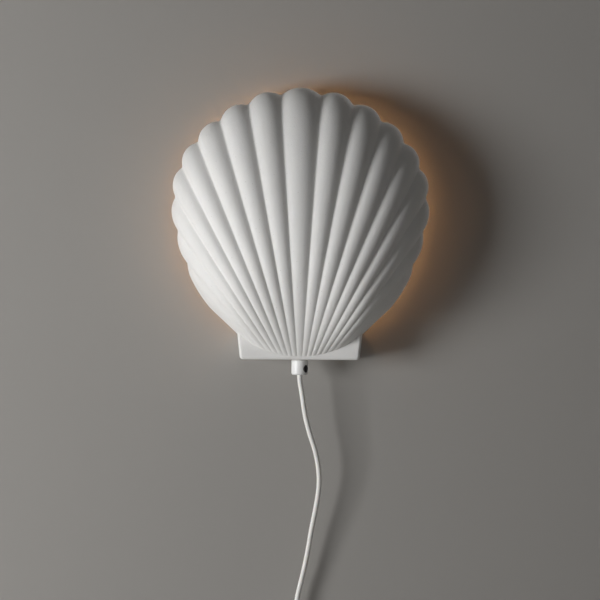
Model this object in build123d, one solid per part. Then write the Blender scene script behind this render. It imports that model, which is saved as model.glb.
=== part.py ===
from build123d import *
from math import asin, cos, hypot, pi, radians, sin, sqrt, tan
import os
import numpy as np

# Shell wall sconce: a ribbed ceramic fan on a plinth, hung on a steel wall plate.
# Millimetres. The wall is the plane y = 0 and the lamp stands towards -Y, +Z is up.
# The origin is the middle of the wall plate's two screw holes, on the wall.

# ---------------------------------------------------------------- driving sizes

# Fan: every groove is a straight ray, seen from the front, from one apex under the plinth.
fan_apex_z = -220.6
first_groove = 0.0675          # sideways run of the first groove per unit of height
groove_pitch = 0.1145          # the same, from one groove to the next
groove_rim_heights = [298.1, 289.0, 272.6, 250.5, 225.1, 196.1, 162.3, 129.7]
centre_rim_height = 299.5
edge_rim_heights = {0.95: 109.0, 1.00: 97.0, 1.03: 86.0}
edge_ray = 1.03                # the fan's two lower sides lie on this ray
foot_arc_radius = 97.0         # the fan's foot is an arc on the plinth's face
foot_arc_height = 135.0        # height of the arc's centre above the apex
foot_overrun = 1.2             # how far the fan runs on into the plinth past its foot
crest_share = 0.42             # how far up each ray the fan is deepest
crest_up = 0.45                # where the crest lies between the surface's two ends, 0..1
foot_fullness = 0.75           # the foot's share of the crest's depth, towards the sides
fan_depth = 84.0               # deepest point of the grooves in front of the rim's edge
side_roundness = 0.40          # smaller is squarer towards the two sides
rib_relief = 0.17              # a rib's height for its width
rib_roundness = 2.2
valley_radius_share = 0.10     # rounds the bottom of a groove
rim_gap = 14.0                 # open slit between the rim and the wall
rim_edge = 6.0                 # straight edge of the rim
shell_wall = 6.0
side_inset_reach = 55.0        # from wall thickness to the inner side's smaller ray
rays_per_rib = 8
border_rays = 9
steps_up = 34

# Plinth: the foot block of the casting, which bears on the wall.
plinth_width_top = 124.0
plinth_width_bottom = 118.0
plinth_height = 28.0
plinth_depth = 52.0
plinth_bottom_z = -186.0
plinth_wall = 6.0
plinth_edge_radius = 3.0
plinth_corner_radius = 3.5
pad_thickness = 1.0
pad_width = 4.0
pad_height = 14.0

# Wall plate and the hook that carries the lamp.
plate_width = 56.0
plate_height = 60.0
plate_thickness = 1.5
plate_corner_radius = 6.0
screw_spacing = 40.0
screw_hole_radius = 2.5
tongue_width = 20.0
tongue_thickness = 1.5
tongue_gap = 3.5               # between the plate's front and the tongue's back
tongue_foot_z = 10.0
tongue_height = 14.0
hang_clearance = 0.3

# Carrier strap inside the shade.
strap_thickness = 2.0
strap_width = 30.0
strap_top_bar = 12.0
strap_window_width = 22.0
strap_window_height = 18.0
strap_bend_radius = 3.0

# Threaded entry under the plinth.
stem_y = -30.0                 # the axis of grip, nipple, lampholder and bulb
nipple_radius = 5.0
nipple_bore = 3.5
thread_depth_grip = 4.6
thread_depth_holder = 9.0
entry_hole_clearance = 0.3
nut_flats = 14.0
nut_thickness = 3.0
lock_washer_radius = 8.0
lock_washer_thickness = 1.0
grip_washer_radius = 7.6
grip_washer_thickness = 1.0

# Cord grip and its clamp screw.
grip_radius = 8.15
grip_height = 14.5
grip_edge_radius = 2.0
grip_cord_bore = 2.7
grip_screw_z_from_bottom = 6.1
grip_screw_turn = 56.0         # degrees from the front towards +X
grip_recess_radius = 4.0
grip_recess_depth = 2.4
clamp_screw_radius = 1.9
clamp_head_radius = 3.7
clamp_head_height = 1.6
clamp_slot_width = 1.0
clamp_slot_depth = 0.8
clamp_tip_clearance = 0.05

# Lampholder.
holder_radius = 13.5
holder_wall = 2.2
holder_cap_height = 22.0
holder_sleeve_height = 34.0
insert_floor = 3.0
insert_height = 25.0
insert_bore = 8.4
screw_shell_radius = 8.2
screw_shell_wall = 1.1
thread_clearance = 0.1

# Golf-ball bulb with a 14 mm screw cap.
bulb_length = 78.0
globe_radius = 22.5
neck_radius = 9.6
cap_thread_radius = 7.0
cap_length = 20.0
insulator_height = 3.0
bulb_contact_radius = 2.3
bulb_contact_height = 1.2
glass_wall = 1.2

# Flex, in-line switch, coil and plug.
cord_radius = 2.5
wire_radius = 1.1
switch_width = 26.0
switch_length = 62.0
switch_depth = 19.0
switch_corner_radius = 6.0
switch_edge_radius = 2.0
switch_wall = 2.2
switch_top_z = -441.0
cord_plane_y = -11.0           # the cord's plane in front of the wall, below the lamp
rocker_length = 20.0
rocker_width = 11.0
rocker_pin_radius = 1.2
rocker_throw = 22.0
coil_turn_pitch = 5.5
coil_layer_pitch = 5.5
coil_outer_radius = 40.0
tie_width = 8.0
tie_thickness = 1.0
tie_clearance = 0.7
plug_width = 35.3
plug_thickness = 13.7
plug_length = 35.5
plug_shoulder = 14.0
pin_spacing = 18.6
pin_radius = 2.0
pin_length = 19.0
pin_sleeve_length = 10.0
pin_sleeve_recess = 0.25

# The upper stretch of the flex, from the grip to the switch: the points of its route.
cord_upper_route = [
    (0.0, -30.0, -201.5),
    (0.0, -30.0, -207.0),
    (2.4, -29.8, -219.0),
    (4.9, -28.8, -238.0),
    (9.6, -27.3, -258.0),
    (17.5, -24.8, -281.0),
    (20.9, -22.0, -307.0),
    (17.6, -19.2, -332.0),
    (12.6, -16.6, -356.0),
    (8.8, -14.2, -381.0),
    (3.8, -12.2, -404.0),
    (-2.6, -11.0, -430.0),
    (-2.6, -11.0, -441.0),
]

# ---------------------------------------------------------------- helpers


def unit(vector):
    return vector * (1 / vector.length)


def cylinder_z(radius, bottom, top, x=0.0, y=0.0):
    """A round bar along Z between two heights."""
    middle = (bottom + top) / 2
    return Pos(x, y, middle) * Cylinder(radius, top - bottom)


def tube_z(outer, inner, bottom, top, x=0.0, y=0.0):
    """A round tube along Z between two heights."""
    return cylinder_z(outer, bottom, top, x, y) - cylinder_z(inner, bottom - 1, top + 1, x, y)


def bar_between(radius, start, end):
    """A round bar from one point to another."""
    start, end = Vector(*start), Vector(*end)
    plane = Plane(origin=start, z_dir=end - start)
    return extrude(plane * Circle(radius), (end - start).length)


def block(x0, x1, y0, y1, z0, z1):
    """A box between two corners."""
    middle = Pos((x0 + x1) / 2, (y0 + y1) / 2, (z0 + z1) / 2)
    return middle * Box(x1 - x0, y1 - y0, z1 - z0)


def revolved(profile, x=0.0, y=0.0):
    """A closed outline of (radius, z) corners turned about a vertical axis."""
    outline = make_face(Polyline(*[(r, 0, z) for r, z in profile], close=True))
    return Pos(x, y, 0) * revolve(outline, Axis.Z)


def corner_radii(points):
    """For each inner corner of a cord's route, the largest arc that its two runs allow."""
    radii = []
    for before, here, after in zip(points, points[1:], points[2:]):
        run_in, run_out = Vector(*here) - Vector(*before), Vector(*after) - Vector(*here)
        half_turn = radians(run_in.get_angle(run_out)) / 2
        radii.append(0.45 * min(run_in.length, run_out.length) / tan(half_turn))
    return radii


def cord_tube(name, points):
    """A round cord along straight runs joined by tangent arcs."""
    radii = corner_radii(points)
    path = FilletPolyline(*points, radius=radii)
    start = Vector(*points[0])
    plane = Plane(origin=start, z_dir=Vector(*points[1]) - start)
    tube = sweep(plane * Circle(cord_radius), path=path)
    expected = pi * cord_radius**2 * path.length
    print(f"{name}: {path.length:.1f} mm long, radii {[round(r) for r in radii]},"
          f" volume {tube.volume / expected:.4f} of section times length")
    return tube, path.length


nodes = {}


def save(name, shape):
    """Keeps one named piece."""
    shape.label = name
    nodes[name] = shape


# ---------------------------------------------------------------- ceramic shell

groove_rays = [first_groove + groove_pitch * k for k in range(len(groove_rim_heights))]
last_groove = groove_rays[-1]
rim_level = rim_gap + rim_edge


def fitted_rim():
    """The rim's height above the apex along a ray, as a polynomial in the ray squared."""
    rays = [0.0, *groove_rays, *edge_rim_heights]
    heights = [centre_rim_height, *groove_rim_heights, *edge_rim_heights.values()]
    return np.polynomial.Polynomial.fit(np.square(rays), heights, 5)


rim_curve = fitted_rim()
rim_slope = rim_curve.deriv()


def foot_height(ray):
    """Height above the apex where a ray crosses the foot's arc."""
    spread = 1 + ray * ray
    inside = foot_arc_height**2 - spread * (foot_arc_height**2 - foot_arc_radius**2)
    return (foot_arc_height - sqrt(max(inside, 0.0))) / spread


def rib_profile(ray):
    """0 in a groove, 1 on a rib's crown; outside the last groove the crown runs to the edge."""
    ray = abs(ray)
    if ray < first_groove:
        across = ray / first_groove
    else:
        across = abs(((ray - first_groove) / groove_pitch) % 1 * 2 - 1)
    if ray > last_groove + groove_pitch / 2:
        across = 0.0
    from_groove = 1 - across
    rounded = sqrt(from_groove**2 + valley_radius_share**2) - valley_radius_share
    full = sqrt(1 + valley_radius_share**2) - valley_radius_share
    return 1 - (1 - rounded / full) ** rib_roundness


def rib_height(ray, height):
    """How far a rib stands out of the groove surface."""
    return rib_relief * groove_pitch * height * rib_profile(ray)


def rim_height(ray, inset):
    """Height above the apex where a ray ends at the rim, moved in by the inset."""
    height = float(rim_curve(ray * ray))
    slope = 2 * ray * float(rim_slope(ray * ray))
    return height - inset * hypot(height + ray * slope, slope) / height


def groove_surface(across, up, inset):
    """A point of the surface through the grooves; across is -1..1, up is 0 (foot)..1 (rim)."""
    turn_across = across * pi / 2
    ray = (edge_ray - inset / side_inset_reach) * sin(turn_across)
    fullness = cos(turn_across) ** (2 * side_roundness)
    foot = foot_height(ray) + inset / 2
    rim = rim_height(ray, inset)
    crest = foot + crest_share * (rim - foot)
    deepest = rim_level + (fan_depth - inset) * fullness
    foot_depth = min(plinth_depth - inset, rim_level + foot_fullness * (deepest - rim_level))
    if up < crest_up:
        run = (1 + foot_overrun / (crest - foot)) * (1 - up / crest_up)
        height = crest - (crest - foot) * run
        depth = deepest - (deepest - foot_depth) * run**2
    else:
        turn = (up - crest_up) / (1 - crest_up) * pi / 2
        height = crest + (rim - crest) * sin(turn)
        depth = rim_level + (deepest - rim_level) * cos(turn)
    return Vector(ray * height, -depth, fan_apex_z + height)


def outward(across, up, inset):
    """The direction that points out of the groove surface."""
    step = 0.004
    across = max(-1 + 2 * step, min(1 - 2 * step, across))
    up = max(2 * step, min(1 - 2 * step, up))
    along = groove_surface(across + step, up, inset) - groove_surface(across - step, up, inset)
    upward = groove_surface(across, up + step, inset) - groove_surface(across, up - step, inset)
    return unit(along.cross(upward))


def fan_point(across, up, inset):
    """A point of the ribbed surface: the groove surface raised by its rib."""
    base = groove_surface(across, up, inset)
    height = base.Z - fan_apex_z
    return base + outward(across, up, inset) * rib_height(base.X / height, height)


def fan_body(inset):
    """The fan as a solid from its ribbed surface back past the wall."""
    reach = edge_ray - inset / side_inset_reach
    ribbed = len(groove_rays) * 2 * rays_per_rib
    inner = [asin(last_groove * (2 * i / ribbed - 1) / reach) * 2 / pi for i in range(ribbed + 1)]
    border = [inner[-1] + (1 - inner[-1]) * i / border_rays for i in range(1, border_rays + 1)]
    spread = [-a for a in reversed(border)] + inner + border
    rows = [[fan_point(a, i / steps_up, inset) for i in range(steps_up + 1)] for a in spread]
    front = Face.make_surface_from_array_of_points(rows, tol=0.08, min_deg=3, max_deg=3)
    return Solid(extrude(front, amount=2 * fan_depth, dir=(0, 1, 0)).wrapped)


def plinth_outline(inset, bottom, top):
    """The plinth's tapered front outline between two heights."""
    def half_width(z):
        share = (z - plinth_bottom_z) / plinth_height
        return (plinth_width_bottom + (plinth_width_top - plinth_width_bottom) * share) / 2 - inset
    low, high = half_width(bottom), half_width(top)
    return make_face(Polyline((-low, 0, bottom), (low, 0, bottom), (high, 0, top),
                              (-high, 0, top), close=True))


def plinth_block():
    """The plinth with its rounded corners and front edges."""
    top = plinth_bottom_z + plinth_height
    solid = extrude(plinth_outline(0, plinth_bottom_z, top), amount=plinth_depth, dir=(0, -1, 0))
    corners = [e for e in solid.edges().filter_by(Axis.Y) if e.center().Z < plinth_bottom_z + 1]
    solid = fillet(corners, plinth_corner_radius)
    front = [e for e in solid.edges()
             if abs(e.center().Y + plinth_depth) < 0.01 and e.center().Z < top - 1]
    solid = fillet(front, plinth_edge_radius)
    return solid - block(-99, 99, -pad_thickness, 1, plinth_bottom_z - 1, top + 1)


def ceramic_shell():
    """The whole casting: fan and plinth outside, fan and pocket inside, and the entry hole."""
    top = plinth_bottom_z + plinth_height
    behind_rim = block(-200, 200, -rim_gap, 200, fan_apex_z, 200)
    outside = fan_body(0) - behind_rim
    inside = fan_body(shell_wall) - block(-200, 200, 1, 200, fan_apex_z, 200)
    floor = plinth_bottom_z + plinth_wall
    pocket = extrude(plinth_outline(plinth_wall, floor, top + 2), amount=plinth_depth - plinth_wall,
                     dir=(0, -1, 0))
    shell = (outside + plinth_block()) - pocket - inside
    hole = nipple_radius + entry_hole_clearance
    return shell - cylinder_z(hole, plinth_bottom_z - 5, floor + 5, 0, stem_y)


save("ceramic_shell", ceramic_shell())

plinth_floor = plinth_bottom_z + plinth_wall


def wall_pads():
    """Two pads between the plinth's side walls and the wall."""
    low = plinth_floor + 1
    outer = plinth_width_bottom / 2 - 0.5
    pad = block(outer - pad_width, outer, -pad_thickness, 0, low, low + pad_height)
    return Compound([pad, mirror(pad, Plane.YZ)])


save("wall_pads", wall_pads())

# ---------------------------------------------------------------- wall plate and strap

tongue_back = -plate_thickness - tongue_gap
tongue_front = tongue_back - tongue_thickness
hang_z = tongue_foot_z + tongue_thickness + hang_clearance


def wall_plate():
    """The pressed plate with two screw holes and an upturned hook tongue."""
    outline = RectangleRounded(plate_width, plate_height, plate_corner_radius)
    plate = extrude(Plane.XZ * outline, plate_thickness)
    half = tongue_width / 2
    web = block(-half, half, tongue_front, -plate_thickness, tongue_foot_z,
                tongue_foot_z + tongue_thickness)
    upright = block(-half, half, tongue_front, tongue_back, tongue_foot_z,
                    tongue_foot_z + tongue_height)
    tips = upright.edges().filter_by(Axis.Y).sort_by(Axis.Z)[-2:]
    hook = fillet(tips, tongue_width / 5) + web
    plate = plate + hook
    for side in (-1, 1):
        plate -= Pos(side * screw_spacing / 2, 0, 0) * Rot(90, 0, 0) * Cylinder(
            screw_hole_radius, 4 * plate_thickness)
    return plate


save("wall_plate", wall_plate())

strap_mid_y = (-plate_thickness + tongue_back) / 2
strap_back = strap_mid_y + strap_thickness / 2
strap_front = strap_mid_y - strap_thickness / 2
strap_top = hang_z + strap_top_bar
strap_floor = plinth_floor + strap_thickness
foot_front = stem_y - strap_width / 2


def carrier_strap():
    """The bent strap: a foot under the lampholder and an upright with the hanging window."""
    half = strap_width / 2
    foot = block(-half, half, foot_front, strap_back, plinth_floor, strap_floor)
    upright = block(-half, half, strap_front, strap_back, plinth_floor, strap_top)
    strap = foot + upright
    outer = [e for e in strap.edges().filter_by(Axis.X)
             if abs(e.center().Y - strap_back) < 0.01 and e.center().Z < strap_floor]
    strap = fillet(outer, strap_bend_radius)
    inner = [e for e in strap.edges().filter_by(Axis.X)
             if abs(e.center().Y - strap_front) < 0.01 and abs(e.center().Z - strap_floor) < 0.01]
    strap = fillet(inner, strap_bend_radius - strap_thickness)
    window = strap_window_width / 2
    strap -= block(-window, window, strap_front - 1, strap_back + 1,
                   hang_z - strap_window_height, hang_z)
    corners = [e for e in strap.edges().filter_by(Axis.Z) if e.center().Y < foot_front + 0.01]
    strap = fillet(corners, strap_width / 5)
    hole = nipple_radius + entry_hole_clearance
    return strap - cylinder_z(hole, plinth_floor - 1, strap_floor + 1, 0, stem_y)


save("carrier_strap", carrier_strap())

# ---------------------------------------------------------------- threaded entry and grip

lock_washer_top = strap_floor + lock_washer_thickness
nut_top = lock_washer_top + nut_thickness
grip_top = plinth_bottom_z - grip_washer_thickness
grip_bottom = grip_top - grip_height
nipple_bottom = grip_top - thread_depth_grip
nipple_top = nut_top + thread_depth_holder
nipple_seat = nipple_radius + thread_clearance


def nipple():
    """The threaded tube, with bevelled ends."""
    bevel = 0.6
    return revolved([(nipple_bore, nipple_bottom), (nipple_radius - bevel, nipple_bottom),
                     (nipple_radius, nipple_bottom + bevel), (nipple_radius, nipple_top - bevel),
                     (nipple_radius - bevel, nipple_top), (nipple_bore, nipple_top)], 0, stem_y)


def hex_nut():
    """The thin nut that clamps the casting."""
    outline = RegularPolygon(nut_flats / 2, 6, major_radius=False)
    nut = Pos(0, stem_y, lock_washer_top) * extrude(outline, nut_thickness)
    return nut - cylinder_z(nipple_seat, lock_washer_top - 1, nut_top + 1, 0, stem_y)


def cord_grip():
    """The round grip: a threaded socket, a passage for the flex and a recess for the screw."""
    body = cylinder_z(grip_radius, grip_bottom, grip_top, 0, stem_y)
    body = fillet(body.edges().filter_by(GeomType.CIRCLE).sort_by(Axis.Z)[0], grip_edge_radius)
    body = chamfer(body.edges().filter_by(GeomType.CIRCLE).sort_by(Axis.Z)[-1], 0.5)
    body -= cylinder_z(nipple_seat, nipple_bottom, grip_top + 1, 0, stem_y)
    body -= cylinder_z(grip_cord_bore, grip_bottom - 1, grip_top + 1, 0, stem_y)
    body -= screw_axis_bar(grip_recess_radius, grip_radius - grip_recess_depth, grip_radius + 1)
    return body - screw_axis_bar(clamp_screw_radius + thread_clearance, 0, grip_radius)


def screw_axis_bar(radius, inner, outer):
    """A bar along the clamp screw's axis between two distances from the grip's middle."""
    turn = radians(grip_screw_turn)
    aim = Vector(sin(turn), -cos(turn), 0)
    middle = Vector(0, stem_y, grip_bottom + grip_screw_z_from_bottom)
    start, end = middle + aim * inner, middle + aim * outer
    return bar_between(radius, (start.X, start.Y, start.Z), (end.X, end.Y, end.Z))


def grip_screw():
    """The slotted clamp screw, its tip on the flex."""
    seat = grip_radius - grip_recess_depth
    tip = cord_radius + clamp_tip_clearance
    screw = screw_axis_bar(clamp_screw_radius, tip, seat)
    screw += screw_axis_bar(clamp_head_radius, seat, seat + clamp_head_height)
    turn = radians(grip_screw_turn)
    slot_centre = seat + clamp_head_height
    slot = Box(2 * clamp_slot_depth, clamp_slot_width, 2.2 * clamp_head_radius)
    slot = Rot(0, 0, grip_screw_turn - 90) * slot
    slot = Pos(slot_centre * sin(turn), stem_y - slot_centre * cos(turn),
               grip_bottom + grip_screw_z_from_bottom) * slot
    return screw - slot


save("nipple", nipple())
save("hex_nut", hex_nut())
save("lock_washer", tube_z(lock_washer_radius, nipple_seat, strap_floor, lock_washer_top, 0, stem_y))
save("grip_washer", tube_z(grip_washer_radius, nipple_seat, grip_top, plinth_bottom_z, 0, stem_y))
save("cord_grip", cord_grip())
save("grip_screw", grip_screw())

# ---------------------------------------------------------------- lampholder

cap_bottom = nut_top
cap_top = cap_bottom + holder_cap_height
insert_radius = holder_radius - holder_wall - thread_clearance
insert_floor_top = cap_top + insert_floor
insert_top = cap_top + insert_height
sleeve_top = cap_top + holder_sleeve_height
ledge = 1.2                    # how far the cap's rim reaches in under the insert
centre_contact_height = 1.6
terminal_offset = 7.0
terminal_radius = 2.4
terminal_height = 2.2


def holder_cap():
    """The lampholder's lower cap with its threaded neck."""
    waist = nipple_radius + 4.2
    inner_rim = insert_radius - ledge
    neck = nipple_radius + 2.2
    return revolved([(nipple_seat, cap_bottom), (waist, cap_bottom),
                     (holder_radius - 1.2, cap_bottom + holder_cap_height * 0.45),
                     (holder_radius, cap_top - 5), (holder_radius, cap_top), (inner_rim, cap_top),
                     (inner_rim, cap_top - 5), (waist - 0.6, cap_bottom + holder_wall),
                     (neck, cap_bottom + holder_wall), (neck, nipple_top), (nipple_seat, nipple_top)],
                    0, stem_y)


def holder_sleeve():
    """The screwed-on sleeve around the insert, with a few grip rings and a rolled mouth."""
    inner = holder_radius - holder_wall
    outline = [(inner, cap_top), (holder_radius, cap_top)]
    ring_gap = 4.0
    for ring in range(3):
        low = cap_top + 3 + ring * ring_gap
        outline += [(holder_radius, low), (holder_radius - 0.5, low + 0.5),
                    (holder_radius - 0.5, low + 1.5), (holder_radius, low + 2.0)]
    outline += [(holder_radius, sleeve_top - 1.2), (holder_radius - 1.1, sleeve_top), (inner, sleeve_top)]
    return revolved(outline, 0, stem_y)


def holder_insert():
    """The heat-proof core that carries the contacts."""
    cup = cylinder_z(insert_radius, cap_top, insert_top, 0, stem_y)
    return cup - cylinder_z(insert_bore, insert_floor_top, insert_top + 1, 0, stem_y)


def screw_shell():
    """The brass thread sleeve that takes the bulb's cap."""
    inner = screw_shell_radius - screw_shell_wall
    return tube_z(screw_shell_radius, inner, insert_floor_top, insert_top - 1, 0, stem_y)


def terminals():
    """The two terminal screws under the insert."""
    screws = [cylinder_z(terminal_radius, cap_top - terminal_height, cap_top, side * terminal_offset,
                         stem_y) for side in (-1, 1)]
    return Compound(screws)


def centre_contact():
    """The sprung tongue under the bulb's tip."""
    top = insert_floor_top + centre_contact_height
    return block(-3.5, 3.5, stem_y - 1.8, stem_y + 1.8, insert_floor_top, top)


jacket_end = nipple_top - 2.0


def conductor(side):
    """One insulated wire from the end of the flex's jacket to its terminal."""
    start_x = side * (wire_radius + 0.15)
    end_z = cap_top - terminal_height
    points = [(start_x, stem_y, jacket_end), (start_x, stem_y, nipple_top + 2.0),
              (side * terminal_offset, stem_y, end_z - 3.0), (side * terminal_offset, stem_y, end_z)]
    path = FilletPolyline(*points, radius=1.8)
    return sweep(Plane(origin=points[0], z_dir=(0, 0, 1)) * Circle(wire_radius), path=path)


save("holder_cap", holder_cap())
save("holder_sleeve", holder_sleeve())
save("holder_insert", holder_insert())
save("screw_shell", screw_shell())
save("terminal_screws", terminals())
save("centre_contact", centre_contact())
save("live_wire", conductor(-1))
save("neutral_wire", conductor(1))
save("lead_in", cylinder_z(cord_radius, grip_bottom, jacket_end, 0, stem_y))

# ---------------------------------------------------------------- bulb

bulb_tip = insert_floor_top + centre_contact_height + hang_clearance
insulator_bottom = bulb_tip + bulb_contact_height
cap_shell_bottom = insulator_bottom + insulator_height
cap_shell_top = cap_shell_bottom + cap_length
globe_centre = bulb_tip + bulb_length - globe_radius


def bulb_cap():
    """The screw cap with rounded thread crests."""
    root = cap_thread_radius - 0.7
    pitch = 2.82
    outline = [(root - 0.5, cap_shell_bottom), (root, cap_shell_bottom)]
    for turn in range(5):
        low = cap_shell_bottom + 1.2 + turn * pitch
        outline += [(root, low), (cap_thread_radius, low + pitch * 0.35),
                    (cap_thread_radius, low + pitch * 0.6), (root, low + pitch * 0.95)]
    outline += [(root, cap_shell_top - 2.5), (neck_radius - 1.6, cap_shell_top), (root - 0.5, cap_shell_top)]
    return revolved(outline, 0, stem_y)


def bulb_insulator():
    """The tapered insulator between shell and tip contact."""
    return revolved([(0, insulator_bottom), (bulb_contact_radius + 0.6, insulator_bottom),
                     (cap_thread_radius - 0.9, cap_shell_bottom), (0, cap_shell_bottom)], 0, stem_y)


def globe_solid(inset):
    """The glass outline turned about the bulb's axis, made smaller by the inset."""
    radius = globe_radius - inset
    neck = neck_radius - inset
    start_angle = radians(-52)
    join = (radius * cos(start_angle), 0, globe_centre + radius * sin(start_angle))
    base = (neck - 1.4, 0, cap_shell_top + inset)
    neck_line = Spline(base, join, tangents=[(0.25, 0, 1), (-sin(start_angle), 0, cos(start_angle))])
    mid_angle = radians(20)
    over = ThreePointArc(join, (radius * cos(mid_angle), 0, globe_centre + radius * sin(mid_angle)),
                         (0, 0, globe_centre + radius))
    axis = Line((0, 0, globe_centre + radius), (0, 0, cap_shell_top + inset))
    floor = Line((0, 0, cap_shell_top + inset), base)
    outline = make_face([neck_line, over, axis, floor])
    return Pos(0, stem_y, 0) * revolve(outline, Axis.Z)


save("bulb_globe", globe_solid(0) - globe_solid(glass_wall))
save("bulb_cap", bulb_cap())
save("bulb_insulator", bulb_insulator())
save("bulb_contact", cylinder_z(bulb_contact_radius, bulb_tip, insulator_bottom, 0, stem_y))

# ---------------------------------------------------------------- upper flex

upper_tube, upper_length = cord_tube("cord_upper", cord_upper_route)
save("cord_upper", upper_tube)

# ---------------------------------------------------------------- in-line switch

switch_x = cord_upper_route[-1][0]
switch_mid_z = switch_top_z - switch_length / 2
pivot_y = cord_plane_y - switch_depth / 2 + 3.3
switch_screw_places = [(-6.8, 23.5), (6.8, -23.5)]
switch_screw_radius = 1.3
switch_screw_head = 2.5
boss_radius = 3.0


def across_switch(radius, x, z, y_from, y_to):
    """A bar along Y at a place on the switch."""
    x, z = switch_x + x, switch_mid_z + z
    return bar_between(radius, (x, y_from, z), (x, y_to, z))


def switch_base():
    """The half towards the wall, with counterbored screw holes."""
    back = cord_plane_y + switch_depth / 2
    half = bored_half(False)
    for x, z in switch_screw_places:
        half -= across_switch(switch_screw_radius + 0.25, x, z, cord_plane_y - 1, back + 1)
        half -= across_switch(switch_screw_head + 0.2, x, z, back - 2.0, back + 1)
    return half


def bored_half(front):
    """A housing half whose screw bosses stand at the same places seen from the front."""
    sign = -1 if front else 1
    depth = switch_depth / 2
    outer_face = cord_plane_y + sign * depth
    outline = Plane.XZ * RectangleRounded(switch_width, switch_length, switch_corner_radius)
    slab = Pos(switch_x, cord_plane_y, switch_mid_z) * extrude(outline, depth, dir=(0, sign, 0))
    face = slab.faces().sort_by(Axis.Y)[0 if front else -1]
    slab = fillet(face.edges(), switch_edge_radius)
    hollow = Plane.XZ * RectangleRounded(switch_width - 2 * switch_wall, switch_length - 2 * switch_wall,
                                         switch_corner_radius - switch_wall)
    slab -= Pos(switch_x, cord_plane_y, switch_mid_z) * extrude(hollow, depth - switch_wall, dir=(0, sign, 0))
    for x, z in switch_screw_places:
        slab += across_switch(boss_radius, x, z, cord_plane_y, outer_face - sign * switch_wall)
    return slab


def switch_cover():
    """The front half, with the rocker's slot and the bosses that hold its pin."""
    front = cord_plane_y - switch_depth / 2
    half = bored_half(True)
    slot_width = rocker_width / 2 + 0.3
    slot_length = rocker_length / 2 + 0.3
    for side in (-1, 1):
        inner = switch_x + side * (rocker_width / 2 + 0.4)
        outer = switch_x + side * (switch_width / 2 - switch_wall)
        half += block(min(inner, outer), max(inner, outer), front + switch_wall, pivot_y + 3,
                      switch_mid_z - 3, switch_mid_z + 3)
    half -= block(switch_x - slot_width, switch_x + slot_width, front - 1, front + switch_wall + 0.5,
                  switch_mid_z - slot_length, switch_mid_z + slot_length)
    half -= pin_bar(rocker_pin_radius + 0.05, switch_width / 2 - switch_wall - 0.8)
    for x, z in switch_screw_places:
        half -= across_switch(switch_screw_radius + 0.05, x, z, cord_plane_y + 1, front + switch_wall)
    return half


def pin_bar(radius, half_length):
    """A bar along the rocker's pivot."""
    return bar_between(radius, (switch_x - half_length, pivot_y, switch_mid_z),
                       (switch_x + half_length, pivot_y, switch_mid_z))


def rocker():
    """The two-faced rocker at its ON tilt, bored for its pin."""
    half = rocker_length / 2
    rise = 4.2
    tilt = rocker_throw / 2
    wing = rise + half * tan(radians(tilt))
    outline = Polyline((-half, -2), (half, -2), (half, wing), (0, rise), (-half, wing), close=True)
    profile = make_face(outline) & Circle(half)
    side = Plane(origin=(-rocker_width / 2, 0, 0), x_dir=(0, 0, 1), z_dir=(1, 0, 0))
    body = extrude(side * profile, rocker_width)
    body -= bar_between(rocker_pin_radius + 0.05, (-rocker_width, 0, 0), (rocker_width, 0, 0))
    return Pos(switch_x, pivot_y, switch_mid_z) * Rot(-tilt, 0, 0) * body


def housing_screws():
    """The two screws that close the housing from behind."""
    back = cord_plane_y + switch_depth / 2
    front = cord_plane_y - switch_depth / 2 + switch_wall + 1
    screws = []
    for x, z in switch_screw_places:
        shank = across_switch(switch_screw_radius, x, z, back - 2.0, front)
        head = across_switch(switch_screw_head, x, z, back - 0.5, back - 2.0)
        screws.append(shank + head)
    return Compound(screws)


def switch_contacts():
    """Two clamp blocks on the base and the contact blade between them."""
    floor = cord_plane_y + switch_depth / 2 - switch_wall
    pieces = []
    for end in (-1, 1):
        middle = switch_mid_z + end * 19
        clamp = block(switch_x - 3, switch_x + 3, floor - 5, floor, middle - 4, middle + 4)
        clamp -= bar_between(1.0, (switch_x, floor - 2.5, middle - 9), (switch_x, floor - 2.5, middle + 9))
        pieces.append(clamp)
    pieces.append(block(switch_x - 2, switch_x + 2, floor - 1, floor, switch_mid_z - 12, switch_mid_z + 12))
    return Compound(pieces)


save("switch_base", switch_base())
save("switch_cover", switch_cover())
save("switch_rocker", rocker())
save("rocker_pin", pin_bar(rocker_pin_radius, switch_width / 2 - switch_wall - 1.0))
save("switch_screws", housing_screws())
save("switch_contacts", switch_contacts())

# ---------------------------------------------------------------- lower flex and coil

coil_near_y = -5.4
cord_lower_route = [
    (-2.6, -11.0, -503.0),
    (-2.6, -11.0, -521.0),
    (4.8, -5.4, -539.0),
    (17.5, -5.4, -551.7),
]
coil_stub = 2 * cord_radius
coil_entry_angle = radians(45)
coil_sweep = radians(360 * 7 + 45)
coil_steps = 28


def coil_centre():
    """The coil's middle, from the end of the lower flex and its 45 degree run."""
    end = Vector(*cord_lower_route[-1])
    entry = end + Vector(cos(coil_entry_angle), 0, -sin(coil_entry_angle)) * coil_stub
    return entry - Vector(cos(coil_entry_angle), 0, sin(coil_entry_angle)) * coil_outer_radius


coil_middle = coil_centre()
per_radian = coil_turn_pitch / (2 * pi)


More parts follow.
